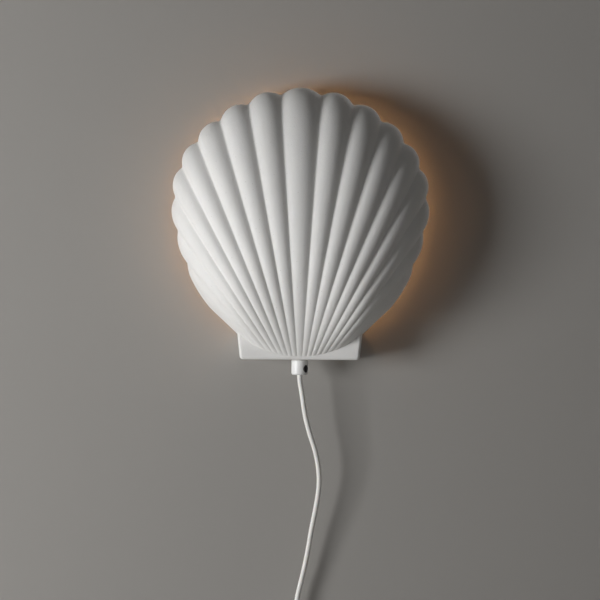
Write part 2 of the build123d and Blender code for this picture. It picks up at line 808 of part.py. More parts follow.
def coil_state(travel):
    """Place and direction on the coil after an angle of travel: in, a climb, and out again."""
    half = coil_sweep / 2
    before = travel < half
    radius = coil_outer_radius - per_radian * (travel if before else coil_sweep - travel)
    radial_rate = 0 if abs(travel - half) < 1e-6 else (-per_radian if before else per_radian)
    climb = min(max(travel - half + pi / 2, 0), pi)
    y = coil_near_y - coil_layer_pitch * (1 - cos(climb)) / 2
    y_rate = -coil_layer_pitch * sin(climb) / 2
    angle = coil_entry_angle - travel
    place = coil_middle + Vector(radius * cos(angle), y - coil_middle.Y, radius * sin(angle))
    rate = Vector(radial_rate * cos(angle) + radius * sin(angle), y_rate,
                  radial_rate * sin(angle) - radius * cos(angle))
    return place, unit(rate)


def biarc(start, start_dir, end, end_dir):
    """Two tangent arcs from one place and direction to another."""
    chord = end - start
    total = start_dir + end_dir
    slack = 2 * (1 - start_dir.dot(end_dir))
    lean = chord.dot(total)
    reach = (-lean + sqrt(lean**2 + slack * chord.dot(chord))) / slack
    first, last = start + start_dir * reach, end - end_dir * reach
    middle = (first + last) * 0.5
    return [Edge.make_tangent_arc(start, start_dir, middle),
            Edge.make_tangent_arc(middle, last - first, end)]


def coil_path():
    """The coil's centreline, straight for one diameter at both ends."""
    states = [coil_state(coil_sweep * i / coil_steps) for i in range(coil_steps + 1)]
    first, last = states[0][0], states[-1][0]
    entry_dir = Vector(cos(coil_entry_angle), 0, -sin(coil_entry_angle))
    exit_dir = Vector(0, 0, -1)
    states[0] = (first, entry_dir)
    states[-1] = (last, exit_dir)
    edges = [Edge.make_line(first - entry_dir * coil_stub, first)]
    for (start, start_dir), (end, end_dir) in zip(states, states[1:]):
        edges += biarc(start, start_dir, end, end_dir)
    edges.append(Edge.make_line(last, last + exit_dir * coil_stub))
    return Wire(edges)


def self_gap(path, spacing=2.0):
    """The least clear distance between two turns of the coil, measured on points."""
    count = int(path.length / spacing)
    points = np.array([tuple(path.position_at(i / count)) for i in range(count + 1)])
    apart = int(4 * coil_turn_pitch / spacing)
    least = min(np.linalg.norm(points[i + apart:] - points[i], axis=1).min() for i in range(count - apart))
    return least - 2 * cord_radius


coil_wire = coil_path()
coil_start = Vector(*cord_lower_route[-1])
coil_section = Plane(origin=coil_start, z_dir=(cos(coil_entry_angle), 0, -sin(coil_entry_angle)))
coil_tube = sweep(coil_section * Circle(cord_radius), path=coil_wire)
coil_share = coil_tube.volume / (pi * cord_radius**2 * coil_wire.length)
print(f"cord_coil: {coil_wire.length:.1f} mm long, volume {coil_share:.4f} of section times length,"
      f" least gap to itself {self_gap(coil_wire):.2f} mm")

lower_tube, lower_length = cord_tube("cord_lower", cord_lower_route)
tail_length = 30.0
tail_top = coil_wire.position_at(1)
plug_top_z = tail_top.Z - tail_length
plug_x, plug_y = tail_top.X, tail_top.Y
total = upper_length + switch_length + lower_length + coil_wire.length + tail_length
print(f"flex from grip to plug, switch included: {total:.0f} mm")

save("cord_lower", lower_tube)
save("cord_coil", coil_tube)
save("cord_tail", cylinder_z(cord_radius, plug_top_z, tail_top.Z, plug_x, plug_y))


def tie():
    """A band round the bundle of turns, at the top of the coil."""
    to_top = coil_entry_angle - pi / 2 + 2 * pi
    crossings = [coil_state(to_top + 2 * pi * k)[0] for k in range(int(coil_sweep / (2 * pi)))]
    heights = [place.Z for place in crossings]
    depths = [place.Y for place in crossings]
    reach = cord_radius + tie_clearance
    low, high = min(heights) - reach, max(heights) + reach
    back, front = max(depths) + reach, min(depths) - reach
    middle = Plane(origin=(coil_middle.X, (back + front) / 2, (low + high) / 2), z_dir=(1, 0, 0),
                   x_dir=(0, 1, 0))
    inner = RectangleRounded(back - front, high - low, cord_radius)
    outer = RectangleRounded(back - front + 2 * tie_thickness, high - low + 2 * tie_thickness,
                             cord_radius + tie_thickness)
    return extrude(middle * (outer - inner), tie_width / 2, both=True)


save("coil_tie", tie())

# ---------------------------------------------------------------- plug

plug_face_z = plug_top_z - plug_length


def plug_body():
    """The flat moulded body, narrow at the flex and wide at the face."""
    neck = 6.0
    half = plug_width / 2
    points = [(-neck, plug_top_z), (neck, plug_top_z), (half - 2, plug_top_z - plug_shoulder),
              (half, plug_top_z - plug_shoulder - 6), (half, plug_face_z), (-half, plug_face_z),
              (-half, plug_top_z - plug_shoulder - 6), (-half + 2, plug_top_z - plug_shoulder)]
    outline = make_face(Polyline(*[(plug_x + x, plug_y, z) for x, z in points], close=True))
    body = extrude(outline, plug_thickness / 2, dir=(0, 1, 0), both=True)
    uprights = [e for e in body.edges().filter_by(Axis.Y) if e.center().Z < plug_top_z - 1]
    body = fillet(uprights, 3.0)
    rims = [e for e in body.edges() if abs(abs(e.center().Y - plug_y) - plug_thickness / 2) < 0.01]
    body = fillet(rims, 2.5)
    for side in (-1, 1):
        body -= cylinder_z(pin_radius - pin_sleeve_recess, plug_face_z - 1, plug_face_z + 12,
                           plug_x + side * pin_spacing / 2, plug_y)
    return body


def plug_pin(side):
    """One pin: a slimmer shank in the body and sleeve, a full round tip."""
    x = plug_x + side * pin_spacing / 2
    shank = pin_radius - pin_sleeve_recess - 0.35
    sleeve_end = plug_face_z - pin_sleeve_length
    tip = plug_face_z - pin_length
    pin = cylinder_z(shank, sleeve_end, plug_face_z + 12, x, plug_y)
    end = cylinder_z(pin_radius, tip, sleeve_end, x, plug_y)
    end = chamfer(end.edges().sort_by(Axis.Z)[0], 0.8)
    return pin + end


def pin_sleeve(side):
    """The insulating sleeve on the body end of a pin."""
    x = plug_x + side * pin_spacing / 2
    outer = pin_radius - pin_sleeve_recess
    return tube_z(outer, outer - 0.35, plug_face_z - pin_sleeve_length, plug_face_z, x, plug_y)


save("plug_body", plug_body())
save("plug_pins", Compound([plug_pin(-1), plug_pin(1)]))
save("pin_sleeves", Compound([pin_sleeve(-1), pin_sleeve(1)]))

# ---------------------------------------------------------------- files

os.makedirs("parts", exist_ok=True)
for name, shape in nodes.items():
    export_step(shape, f"parts/{name}.step")
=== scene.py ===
"""Shell wall sconce: the looks of a ribbed ceramic wall lamp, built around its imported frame.

Everything is in metres in the frame's axes: the wall is the plane y = 0, the lamp stands
towards -Y and +Z is up. The frame's nodes keep their places; the pieces made here either
replace one of them or are added to what one carries.
"""
import logging
import math
from dataclasses import dataclass, field
from enum import Enum

import bmesh
import bpy
import numpy as np
from mathutils import Matrix, Vector


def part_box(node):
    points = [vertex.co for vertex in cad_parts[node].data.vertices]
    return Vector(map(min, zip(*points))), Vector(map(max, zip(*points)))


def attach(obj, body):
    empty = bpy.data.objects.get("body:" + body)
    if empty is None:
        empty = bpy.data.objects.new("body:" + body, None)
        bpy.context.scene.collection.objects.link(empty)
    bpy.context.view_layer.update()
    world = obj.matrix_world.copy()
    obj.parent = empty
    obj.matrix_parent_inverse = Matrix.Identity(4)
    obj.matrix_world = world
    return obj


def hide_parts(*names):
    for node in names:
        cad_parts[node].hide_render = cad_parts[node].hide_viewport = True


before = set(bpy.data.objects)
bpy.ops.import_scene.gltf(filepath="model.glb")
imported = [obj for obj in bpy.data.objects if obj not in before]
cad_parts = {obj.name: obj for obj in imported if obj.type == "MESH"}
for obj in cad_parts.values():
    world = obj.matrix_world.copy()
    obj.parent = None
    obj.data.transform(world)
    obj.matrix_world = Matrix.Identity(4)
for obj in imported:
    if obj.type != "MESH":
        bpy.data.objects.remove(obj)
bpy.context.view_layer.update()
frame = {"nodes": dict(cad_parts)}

LOG = logging.getLogger("shell_sconce")
MM = 0.001
SUBSURFACE_RADIUS = (0.004, 0.003, 0.002)
COARSE_SCALE = 0.18  # the coarse grain's scale as a share of the fine grain's
SPECK_SHARE = 0.3  # how many of the cells hold a speck
ON_AXIS = 1e-7  # a lathe's corner nearer to the axis than this is one point
SAME_POINT = 1e-6  # points nearer to each other than this are merged
COLUMN_SLACK = 1e-4  # rounding in a column's number

Point = tuple[float, float, float]
Colour = tuple[float, float, float]
Outline = list[tuple[float, float]]
Tree = bpy.types.NodeTree
Node = bpy.types.Node
Socket = bpy.types.NodeSocket
Piece = bpy.types.Object
Material = bpy.types.Material


class Body(Enum):
    """The bodies of the frame that the pieces made here ride on."""

    LAMP = "lamp"
    BULB = "bulb"


class Cut(Enum):
    """How one solid changes another."""

    JOIN = "UNION"
    REMOVE = "DIFFERENCE"


# ---------------------------------------------------------------- node trees


@dataclass(frozen=True)
class Field:
    """A number that varies over a piece: a socket of a node tree, with arithmetic.

    Each operation adds Math nodes to the tree.
    """

    tree: Tree
    socket: Socket

    def math(self, operation: str, *others: "Field | float") -> "Field":
        """Adds a Math node that works on this field first.

        Args:
            operation: The Math node's operation.
            others: The node's other inputs.

        Returns:
            The node's result.
        """
        node = self.tree.nodes.new("ShaderNodeMath")
        node.operation = operation
        for socket, value in zip(node.inputs, (self, *others)):
            feed(self.tree, socket, value)
        return Field(self.tree, node.outputs[0])

    def __add__(self, other: "Field | float") -> "Field":
        """This plus the other."""
        return self.math("ADD", other)

    def __sub__(self, other: "Field | float") -> "Field":
        """This less the other."""
        return self.math("SUBTRACT", other)

    def __rsub__(self, other: float) -> "Field":
        """A plain number less this."""
        return self.math("MULTIPLY", -1.0) + other

    def __mul__(self, other: "Field | float") -> "Field":
        """This times the other."""
        return self.math("MULTIPLY", other)

    def __truediv__(self, other: "Field | float") -> "Field":
        """This over the other."""
        return self.math("DIVIDE", other)

    def __pow__(self, power: float) -> "Field":
        """This, kept from going below zero, raised to a power."""
        return self.math("MAXIMUM", 0.0).math("POWER", power)

    def below(self, limit: "Field | float") -> "Field":
        """1 where this is less than the limit, and 0 elsewhere."""
        return self.math("LESS_THAN", limit)

    def choose(self, yes: "Field", no: "Field") -> "Field":
        """Where this is 1 the first field, and where it is 0 the second."""
        return no + (yes - no) * self


def feed(tree: Tree, socket: Socket, value: object) -> None:
    """Links a value to an input, or sets it there.

    Args:
        tree: The tree that the input's node is in.
        socket: The input.
        value: A field, an output socket, or a plain value.
    """
    source = value.socket if isinstance(value, Field) else value
    if isinstance(source, Socket):
        tree.links.new(source, socket)
    else:
        socket.default_value = source


def fill(tree: Tree, node: Node, inputs: dict) -> Node:
    """Feeds a node's inputs, given by name or number, and returns the node."""
    for name, value in inputs.items():
        feed(tree, node.inputs[name], value)
    return node


def add_node(tree: Tree, kind: str, inputs: dict | None = None, **settings: object) -> Node:
    """Adds a node with its settings and inputs.

    Args:
        tree: The tree it goes into.
        kind: The node's type name.
        inputs: Values or sockets by input name or number.
        settings: The node's own properties.

    Returns:
        The new node.
    """
    node = tree.nodes.new(kind)
    for name, value in settings.items():
        setattr(node, name, value)
    return fill(tree, node, inputs or {})


def new_tree(name: str, kind: str, takes: dict[str, str], gives: dict[str, str]
             ) -> tuple[Tree, dict[str, Socket], Node]:
    """Makes an empty node tree with named inputs and outputs.

    Args:
        name: The tree's name.
        kind: "GeometryNodeTree" or "ShaderNodeTree".
        takes: The inputs' names and kinds, such as "Float".
        gives: The outputs' names and kinds.

    Returns:
        The tree, the sockets of what it takes by name, and its output node.
    """
    tree = bpy.data.node_groups.new(name, kind)
    for side, sockets in (("INPUT", takes), ("OUTPUT", gives)):
        for label, sort in sockets.items():
            tree.interface.new_socket(name=label, in_out=side, socket_type=f"NodeSocket{sort}")
    given = tree.nodes.new("NodeGroupInput")
    out = tree.nodes.new("NodeGroupOutput")
    return tree, {label: given.outputs[label] for label in takes}, out


def polynomial(variable: Field, coefficients: np.ndarray) -> Field:
    """A polynomial of a field.

    Args:
        variable: What is raised to powers.
        coefficients: The factors, lowest power first.

    Returns:
        The polynomial's value.
    """
    value = variable * 0.0 + float(coefficients[-1])
    for factor in reversed(coefficients[:-1]):
        value = value * variable + float(factor)
    return value


def end_geometry(tree: Tree, out: Node, geometry: Socket, material: Socket) -> None:
    """Makes a geometry tree's instances real, sets their material and gives the result out.

    Args:
        tree: The tree.
        out: Its output node.
        geometry: What it has made.
        material: The material's socket.
    """
    real = add_node(tree, "GeometryNodeRealizeInstances", {"Geometry": geometry})
    dressed = add_node(tree, "GeometryNodeSetMaterial",
                       {"Geometry": real.outputs["Geometry"], "Material": material})
    feed(tree, out.inputs["Geometry"], dressed.outputs["Geometry"])


def new_material(name: str, inputs: dict) -> tuple[Material, Tree, Node]:
    """Makes a material of one Principled BSDF.

    Args:
        name: The material's name.
        inputs: The shader's plain inputs by name.

    Returns:
        The material, its tree and the shader.
    """
    material = bpy.data.materials.new(name)
    material.use_nodes = True
    tree = material.node_tree
    return material, tree, fill(tree, tree.nodes["Principled BSDF"], inputs)


def mix_colours(tree: Tree, factor: Socket, first: object, second: object) -> Socket:
    """Mixes two colours, which are sockets or plain ones, by a mask."""
    mix = add_node(tree, "ShaderNodeMix", {0: factor, 6: first, 7: second}, data_type="RGBA")
    return mix.outputs[2]


# ---------------------------------------------------------------- meshes


def middle_of(low: Vector, high: Vector) -> Point:
    """The middle of a box."""
    return tuple((a + b) / 2 for a, b in zip(low, high))


def new_object(name: str, data: bpy.types.ID) -> Piece:
    """Makes an object at the origin, in the scene."""
    made = bpy.data.objects.new(name, data)
    bpy.context.scene.collection.objects.link(made)
    return made


def settled(made: Piece) -> Piece:
    """Turns what an object's modifiers make into its plain mesh.

    Args:
        made: The object, which keeps its name.

    Returns:
        The same object, with no modifiers.
    """
    graph = bpy.context.evaluated_depsgraph_get()
    mesh = bpy.data.meshes.new_from_object(made.evaluated_get(graph), depsgraph=graph)
    mesh.name = made.name
    made.modifiers.clear()
    made.data = mesh
    return made


def grown(name: str, tree: Tree, values: dict[str, object]) -> Piece:
    """Makes a piece from a geometry node tree.

    Args:
        name: The piece's name.
        tree: The tree, which needs no geometry to start from.
        values: The tree's inputs by name.

    Returns:
        The piece with a plain mesh.
    """
    made = new_object(name, bpy.data.meshes.new(name))
    modifier = made.modifiers.new("shape", "NODES")
    modifier.node_group = tree
    for socket in tree.interface.items_tree:
        if socket.in_out == "INPUT" and socket.name in values:
            modifier[socket.identifier] = values[socket.name]
    return settled(made)


def from_bmesh(name: str, work: bmesh.types.BMesh) -> Piece:
    """Makes an object of a bmesh, with its doubles merged and its faces outwards.

    Args:
        name: The object's name.
        work: The bmesh, which is freed.

    Returns:
        The object.
    """
    bmesh.ops.remove_doubles(work, verts=work.verts, dist=SAME_POINT)
    bmesh.ops.recalc_face_normals(work, faces=work.faces)
    bmesh.ops.triangulate(work, faces=[f for f in work.faces if len(f.verts) > 4])
    mesh = bpy.data.meshes.new(name)
    work.to_mesh(mesh)
    work.free()
    return new_object(name, mesh)


def change(made: Piece, steps: list[tuple[Cut, Piece]]) -> Piece:
    """Joins solids to an object or removes them from it, in order.

    Args:
        made: The solid that is changed.
        steps: What is done and with which solid, which is deleted after.

    Returns:
        The changed object with a plain mesh.
    """
    for cut, tool in steps:
        modifier = made.modifiers.new("cut", "BOOLEAN")
        modifier.operation = cut.value
        modifier.solver = "MANIFOLD"
        modifier.object = tool
    settled(made)
    for _, tool in steps:
        bpy.data.objects.remove(tool)
    return made


def smooth(made: Piece, sharp_from: float = 38.0) -> Piece:
    """Shades a piece smoothly, except at edges sharper than an angle in degrees."""
    made.data.shade_smooth()
    made.data.set_sharp_from_angle(angle=math.radians(sharp_from))
    return made


def lathe(name: str, outline: Outline, x: float, y: float, hollow: bool = False,
          segments: int = 96) -> Piece:
    """Makes a turned solid about an upright axis.

    Args:
        name: The piece's name.
        outline: Corners as radius and height, from pole to pole or once round a ring's section.
        x: The axis's place.
        y: The axis's place.
        hollow: Whether the outline closes on itself.
        segments: Steps round the axis.

    Returns:
        The turned piece.
    """
    work = bmesh.new()
    turns = [2 * math.pi * k / segments for k in range(segments)]
    rings = [[work.verts.new((x + radius * math.cos(a), y + radius * math.sin(a), height))
              for a in (turns if radius > ON_AXIS else turns[:1])] for radius, height in outline]
    pairs = list(zip(rings, rings[1:]))
    if hollow:
        pairs.append((rings[-1], rings[0]))
    for low, high in pairs:
        for k in range(segments):
            corners = [low[k % len(low)], low[(k + 1) % len(low)],
                       high[(k + 1) % len(high)], high[k % len(high)]]
            unique = list(dict.fromkeys(corners))
            if len(unique) > 2:
                work.faces.new(unique)
    return from_bmesh(name, work)


def round_corners(corners: Outline, radius: float, steps: int = 6) -> Outline:
    """Rounds the corners of a flat outline with arcs.

    Args:
        corners: The outline's corners in order.
        radius: The arcs' radius.
        steps: Straight pieces in each arc.

    Returns:
        The rounded outline.
    """
    outline = []
    for k, here in enumerate(corners):
        here = Vector(here)
        back = (Vector(corners[k - 1]) - here).normalized()
        ahead = (Vector(corners[(k + 1) % len(corners)]) - here).normalized()
        half = back.angle(ahead) / 2
        middle = here + (back + ahead).normalized() * (radius / math.sin(half))
        start = here + back * (radius / math.tan(half)) - middle
        end = here + ahead * (radius / math.tan(half)) - middle
        for step in range(steps + 1):
            spoke = start.slerp(end, step / steps).normalized() * radius
            outline.append(tuple(middle + spoke))
    return outline


def rectangle(left: float, right: float, bottom: float, top: float) -> Outline:
    """A rectangle's corners as x and z."""
    return [(left, bottom), (right, bottom), (right, top), (left, top)]


def skin(work: bmesh.types.BMesh, low: list, high: list) -> None:
    """Joins two closed rings of points with a band of faces."""
    for k in range(len(low)):
        after = (k + 1) % len(low)
        work.faces.new((low[k], low[after], high[after], high[k]))


def outline_normals(outline: np.ndarray) -> np.ndarray:
    """The outward directions at the corners of a closed flat outline.

    Args:
        outline: The corners, one a row.

    Returns:
        Unit vectors, one a row.
    """
    along = np.roll(outline, -1, axis=0) - np.roll(outline, 1, axis=0)
    normals = np.stack([along[:, 1], -along[:, 0]], axis=1)
    normals /= np.linalg.norm(normals, axis=1)[:, None]
    after = np.roll(outline, -1, axis=0)
    area = np.sum(outline[:, 0] * after[:, 1] - after[:, 0] * outline[:, 1])
    return normals if area > 0 else -normals


def slab(name: str, outline: Outline, stations: Outline) -> Piece:
    """Makes a solid whose section across Y is one outline, moved in or out along the way.

    Args:
        name: The piece's name.
        outline: The section as x and z.
        stations: Each section's y and how far it lies outside the outline.

    Returns:
        The closed solid.
    """
    flat = np.array(outline)
    normals = outline_normals(flat)
    work = bmesh.new()
    rings = []
    for y, offset in stations:
        places = flat + normals * offset
        rings.append([work.verts.new((px, y, pz)) for px, pz in places])
    for low, high in zip(rings, rings[1:]):
        skin(work, low, high)
    work.faces.new(rings[0])
    work.faces.new(rings[-1])
    return from_bmesh(name, work)


def quarter_round(start: float, end: float, radius: float, steps: int = 5) -> Outline:
    """Stations of a slab whose edge at the end is rounded off.

    Args:
        start: The y where the straight side begins.
        end: The y of the end face.
        radius: The edge's radius.
        steps: Straight pieces in the quarter circle.

    Returns:
        Pairs of y and offset.
    """
    way = math.copysign(1.0, end - start)
    stations = [(start, 0.0)]
    for step in range(steps + 1):
        turn = math.pi / 2 * step / steps
        stations.append((end - way * radius * (1 - math.sin(turn)), -radius * (1 - math.cos(turn))))
    return stations


def bar(name: str, start: Vector, end: Vector, radius: float, segments: int = 48) -> Piece:
    """Makes a round bar between two points, as a tool that cuts.

    Args:
        name: The bar's name.
        start: The middle of one end.
        end: The middle of the other end.
        radius: The bar's radius.
        segments: Steps round it.

    Returns:
        The bar.
    """
    work = bmesh.new()
    turn = (end - start).to_track_quat("Z", "Y").to_matrix().to_4x4()
    bmesh.ops.create_cone(work, cap_ends=True, segments=segments, radius1=radius, radius2=radius,
                          depth=(end - start).length,
                          matrix=Matrix.Translation((start + end) / 2) @ turn)
    return from_bmesh(name, work)


def place(made: Piece, body: Body, slot: str, material: Material, *nodes: str) -> Piece:
    """Gives a finished piece its material, its body and the nodes that it stands for.

    Args:
        made: The finished piece, at the origin.
        body: The body it rides on.
        slot: The record's material slot.
        material: Its finish.
        nodes: The frame's nodes that it replaces.

    Returns:
        The same piece.
    """
    made.data.materials.clear()
    made.data.materials.append(material)
    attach(made, body.value)
    if nodes:
        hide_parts(*nodes)
    LOG.info("%s rides on %s, in %s", made.name, body.value, slot)
    return made


# ---------------------------------------------------------------- finishes


class Effects:
    """The shader node groups that the finishes share, each built once."""

    def __init__(self) -> None:
        """Builds the groups."""
        self.mottle = self._mottle()
        self.grain = self._grain()
        self.specks = self._specks()

    @staticmethod
    def _mottle() -> Tree:
        """Broad soft patches, as a mask from 0 to 1.

        Returns:
            The shader group.
        """
        tree, given, out = new_tree("mottle", "ShaderNodeTree",
                                    {"Place": "Vector", "Scale": "Float"}, {"Mask": "Float"})
        noise = add_node(tree, "ShaderNodeTexNoise",
                         {"Vector": given["Place"], "Scale": given["Scale"],
                          "Detail": 4.0, "Roughness": 0.6})
        spread = add_node(tree, "ShaderNodeMapRange",
                          {"Value": noise.outputs["Fac"], "From Min": 0.3, "From Max": 0.7})
        feed(tree, out.inputs["Mask"], spread.outputs["Result"])
        return tree

    @staticmethod
    def _grain() -> Tree:
        """Fine relief of two sizes, as a height from 0 to 1.

        Returns:
            The shader group.
        """
        tree, given, out = new_tree(
            "grain", "ShaderNodeTree",
            {"Place": "Vector", "Scale": "Float", "Coarse Share": "Float"}, {"Height": "Float"})
        scale = Field(tree, given["Scale"])
        fine = add_node(tree, "ShaderNodeTexNoise",
                        {"Vector": given["Place"], "Scale": scale, "Detail": 3.0})
        coarse = add_node(tree, "ShaderNodeTexNoise",
                          {"Vector": given["Place"], "Scale": scale * COARSE_SCALE,
                           "Detail": 2.0})
        share = Field(tree, given["Coarse Share"])
        height = Field(tree, fine.outputs["Fac"]) + Field(tree, coarse.outputs["Fac"]) * share
        feed(tree, out.inputs["Height"], height)
        return tree

    @staticmethod
    def _specks() -> Tree:
        """Small separate dots, as a mask from 0 to 1.

        Returns:
            The shader group.
        """
        tree, given, out = new_tree(
            "specks", "ShaderNodeTree",
            {"Place": "Vector", "Scale": "Float", "Size": "Float"}, {"Mask": "Float"})
        cells = add_node(tree, "ShaderNodeTexVoronoi",
                         {"Vector": given["Place"], "Scale": given["Scale"]})
        chosen = add_node(tree, "ShaderNodeSeparateColor", {"Color": cells.outputs["Color"]})
        near = Field(tree, cells.outputs["Distance"]).below(Field(tree, given["Size"]))
        some = Field(tree, chosen.outputs["Red"]).below(SPECK_SHARE)
        feed(tree, out.inputs["Mask"], near * some)
        return tree


@dataclass(frozen=True)
class Finish:
    """One surface finish, with colour that drifts a little and a fine relief.

    Lengths are metres and scales are per metre.
    """

    name: str
    colour: Colour
    roughness: float
    metallic: float = 0.0
    drift: float = 0.04
    drift_scale: float = 30.0
    roughness_drift: float = 0.06
    grain_scale: float = 1800.0
    grain_depth: float = 0.00003
    grain_stretch: Point = (1.0, 1.0, 1.0)
    coarse_share: float = 0.6
    speck_colour: Colour | None = None
    speck_scale: float = 260.0
    speck_size: float = 0.12
    coat: float = 0.0
    subsurface: float = 0.0

    def build(self, effects: Effects) -> Material:
        """Builds the material.

        Args:
            effects: The shared shader groups.

        Returns:
            The material.
        """
        material, tree, shader = new_material(self.name, {
            "Metallic": self.metallic, "Coat Weight": self.coat,
            "Subsurface Weight": self.subsurface, "Subsurface Radius": SUBSURFACE_RADIUS})
        where = add_node(tree, "ShaderNodeTexCoord").outputs["Object"]
        mottle = add_node(tree, "ShaderNodeGroup", {"Place": where, "Scale": self.drift_scale},
                          node_tree=effects.mottle)
        patches = mottle.outputs["Mask"]
        rough = add_node(tree, "ShaderNodeMapRange",
                         {"Value": patches, "To Min": self.roughness - self.roughness_drift,
                          "To Max": self.roughness + self.roughness_drift})
        stretched = add_node(tree, "ShaderNodeMapping", {"Vector": where, "Scale": self.grain_stretch})
        grain = add_node(tree, "ShaderNodeGroup",
                         {"Place": stretched.outputs["Vector"], "Scale": self.grain_scale,
                          "Coarse Share": self.coarse_share}, node_tree=effects.grain)
        bump = add_node(tree, "ShaderNodeBump", {"Height": grain.outputs["Height"],
                                                 "Distance": self.grain_depth, "Strength": 1.0})
        fill(tree, shader, {"Base Color": self._base(tree, where, patches, effects),
                            "Roughness": rough.outputs["Result"], "Normal": bump.outputs["Normal"]})
        return material

    def _base(self, tree: Tree, where: Socket, patches: Socket, effects: Effects) -> Socket:
        """The colour with its drift and specks.

        Args:
            tree: The material's tree.
            where: Object coordinates.
            patches: The broad mask.
            effects: The shared shader groups.

        Returns:
            The colour socket.
        """
        low = tuple(c * (1 - self.drift) for c in self.colour)
        high = tuple(min(c * (1 + self.drift), 1.0) for c in self.colour)
        colour = mix_colours(tree, patches, (*low, 1.0), (*high, 1.0))
        if self.speck_colour is None:
            return colour
        specks = add_node(tree, "ShaderNodeGroup",
                          {"Place": where, "Scale": self.speck_scale, "Size": self.speck_size},
                          node_tree=effects.specks)
        return mix_colours(tree, specks.outputs["Mask"], colour, (*self.speck_colour, 1.0))


@dataclass(frozen=True)
class OpalGlow:
    """The lit opal glass of the bulb, dark only where its neck goes into the cap."""

    name: str = "opal_glow"
    colour: Colour = (0.98, 0.93, 0.84)
    light: Colour = (1.0, 0.50, 0.18)
    strength: float = 30.0
    roughness: float = 0.35
    dark_below: float = -0.106
    lit_above: float = -0.078

    def build(self) -> Material:
        """Builds the material.

        Returns:
            The material.
        """
        material, tree, shader = new_material(self.name, {
            "Base Color": (*self.colour, 1.0), "Roughness": self.roughness,
            "Emission Strength": self.strength})
        where = add_node(tree, "ShaderNodeTexCoord").outputs["Object"]
        height = add_node(tree, "ShaderNodeSeparateXYZ", {"Vector": where}).outputs["Z"]
        rise = add_node(tree, "ShaderNodeMapRange",
                        {"Value": height, "From Min": self.dark_below, "From Max": self.lit_above})
        light = mix_colours(tree, rise.outputs["Result"], (0.0, 0.0, 0.0, 1.0), (*self.light, 1.0))
        feed(tree, shader.inputs["Emission Color"], light)
        return material


CERAMIC = Finish("bisque", (0.83, 0.82, 0.80), 0.66, drift=0.025, drift_scale=22.0,
                 roughness_drift=0.08, grain_scale=1500.0, grain_depth=0.00016, coarse_share=0.8,
                 speck_colour=(0.55, 0.52, 0.48), speck_scale=300.0, speck_size=0.09,
                 subsurface=0.05)
WHITE_MOULDED = Finish("white_moulded", (0.84, 0.84, 0.83), 0.38, drift=0.012,
                       grain_scale=3200.0, grain_depth=0.00002)
ROCKER_GLOSS = Finish("rocker_gloss", (0.80, 0.80, 0.79), 0.20, drift=0.01, grain_scale=4000.0,
                      grain_depth=0.000008, coat=0.3)
HOLDER_MOULDED = Finish("holder_moulded", (0.80, 0.79, 0.75), 0.42, drift=0.02,
                        grain_scale=2600.0, grain_depth=0.00002)
STEATITE = Finish("steatite", (0.76, 0.73, 0.66), 0.58, drift=0.05, drift_scale=120.0,
                  grain_scale=2600.0, grain_depth=0.00005, speck_colour=(0.45, 0.40, 0.33),
                  speck_scale=700.0)
CREAM_SHEATH = Finish("cream_sheath", (0.86, 0.845, 0.81), 0.46, drift=0.02, drift_scale=60.0,
                      grain_scale=2400.0, grain_depth=0.00003, subsurface=0.25)
BROWN_SHEATH = Finish("brown_sheath", (0.22, 0.10, 0.045), 0.42, drift=0.05)
BLUE_SHEATH = Finish("blue_sheath", (0.06, 0.18, 0.50), 0.42, drift=0.05)
ZINC = Finish("zinc", (0.60, 0.61, 0.62), 0.36, metallic=1.0, drift=0.09, drift_scale=180.0,
              roughness_drift=0.10, grain_scale=2200.0, grain_depth=0.00002,
              grain_stretch=(0.12, 1.0, 1.0))
BLACKENED = Finish("blackened", (0.030, 0.030, 0.033), 0.42, metallic=0.7, drift=0.2,
                   drift_scale=300.0, grain_scale=3000.0, grain_depth=0.00003)
BRASS = Finish("brass", (0.72, 0.52, 0.22), 0.30, metallic=1.0, drift=0.07, drift_scale=200.0,
               roughness_drift=0.08, grain_scale=2600.0, grain_depth=0.000015)
NICKEL = Finish("nickel", (0.70, 0.69, 0.66), 0.20, metallic=1.0, drift=0.04, drift_scale=200.0,
                grain_scale=3000.0, grain_depth=0.00001, grain_stretch=(1.0, 1.0, 0.15))
ROLLED_ALUMINIUM = Finish("rolled_aluminium", (0.70, 0.70, 0.71), 0.33, metallic=1.0, drift=0.06,
                          grain_scale=2200.0, grain_depth=0.00002, grain_stretch=(1.0, 1.0, 0.2))
VITRITE = Finish("vitrite", (0.02, 0.02, 0.02), 0.15, drift=0.2, grain_depth=0.00001)
SOLDER = Finish("solder", (0.55, 0.55, 0.56), 0.35, metallic=1.0, drift=0.08, drift_scale=500.0,
                grain_scale=1200.0, grain_depth=0.00006)
SOFT_PAD = Finish("soft_pad", (0.72, 0.71, 0.67), 0.80, drift=0.04, grain_scale=2200.0,
                  grain_depth=0.00008)
TIE_MOULDED = Finish("tie_moulded", (0.78, 0.78, 0.77), 0.50, drift=0.02, grain_scale=2400.0,
                     grain_depth=0.00004)


# ---------------------------------------------------------------- studio


@dataclass(frozen=True)
class SoftLamp:
    """A square soft lamp that faces the middle of the frame."""

    name: str
    where: Point
    size: float
    power: float
    colour: Colour

    def build(self, towards: Point) -> None:
        """Makes the lamp, turned towards a place.

        Args:
            towards: The place.
        """
        data = bpy.data.lights.new(self.name, "AREA")
        data.shape = "SQUARE"
        data.size = self.size
        data.energy = self.power
        data.color = self.colour
        lamp = new_object(self.name, data)
        lamp.location = self.where
        aim = Vector(towards) - Vector(self.where)
        lamp.rotation_euler = aim.to_track_quat("-Z", "Y").to_euler()


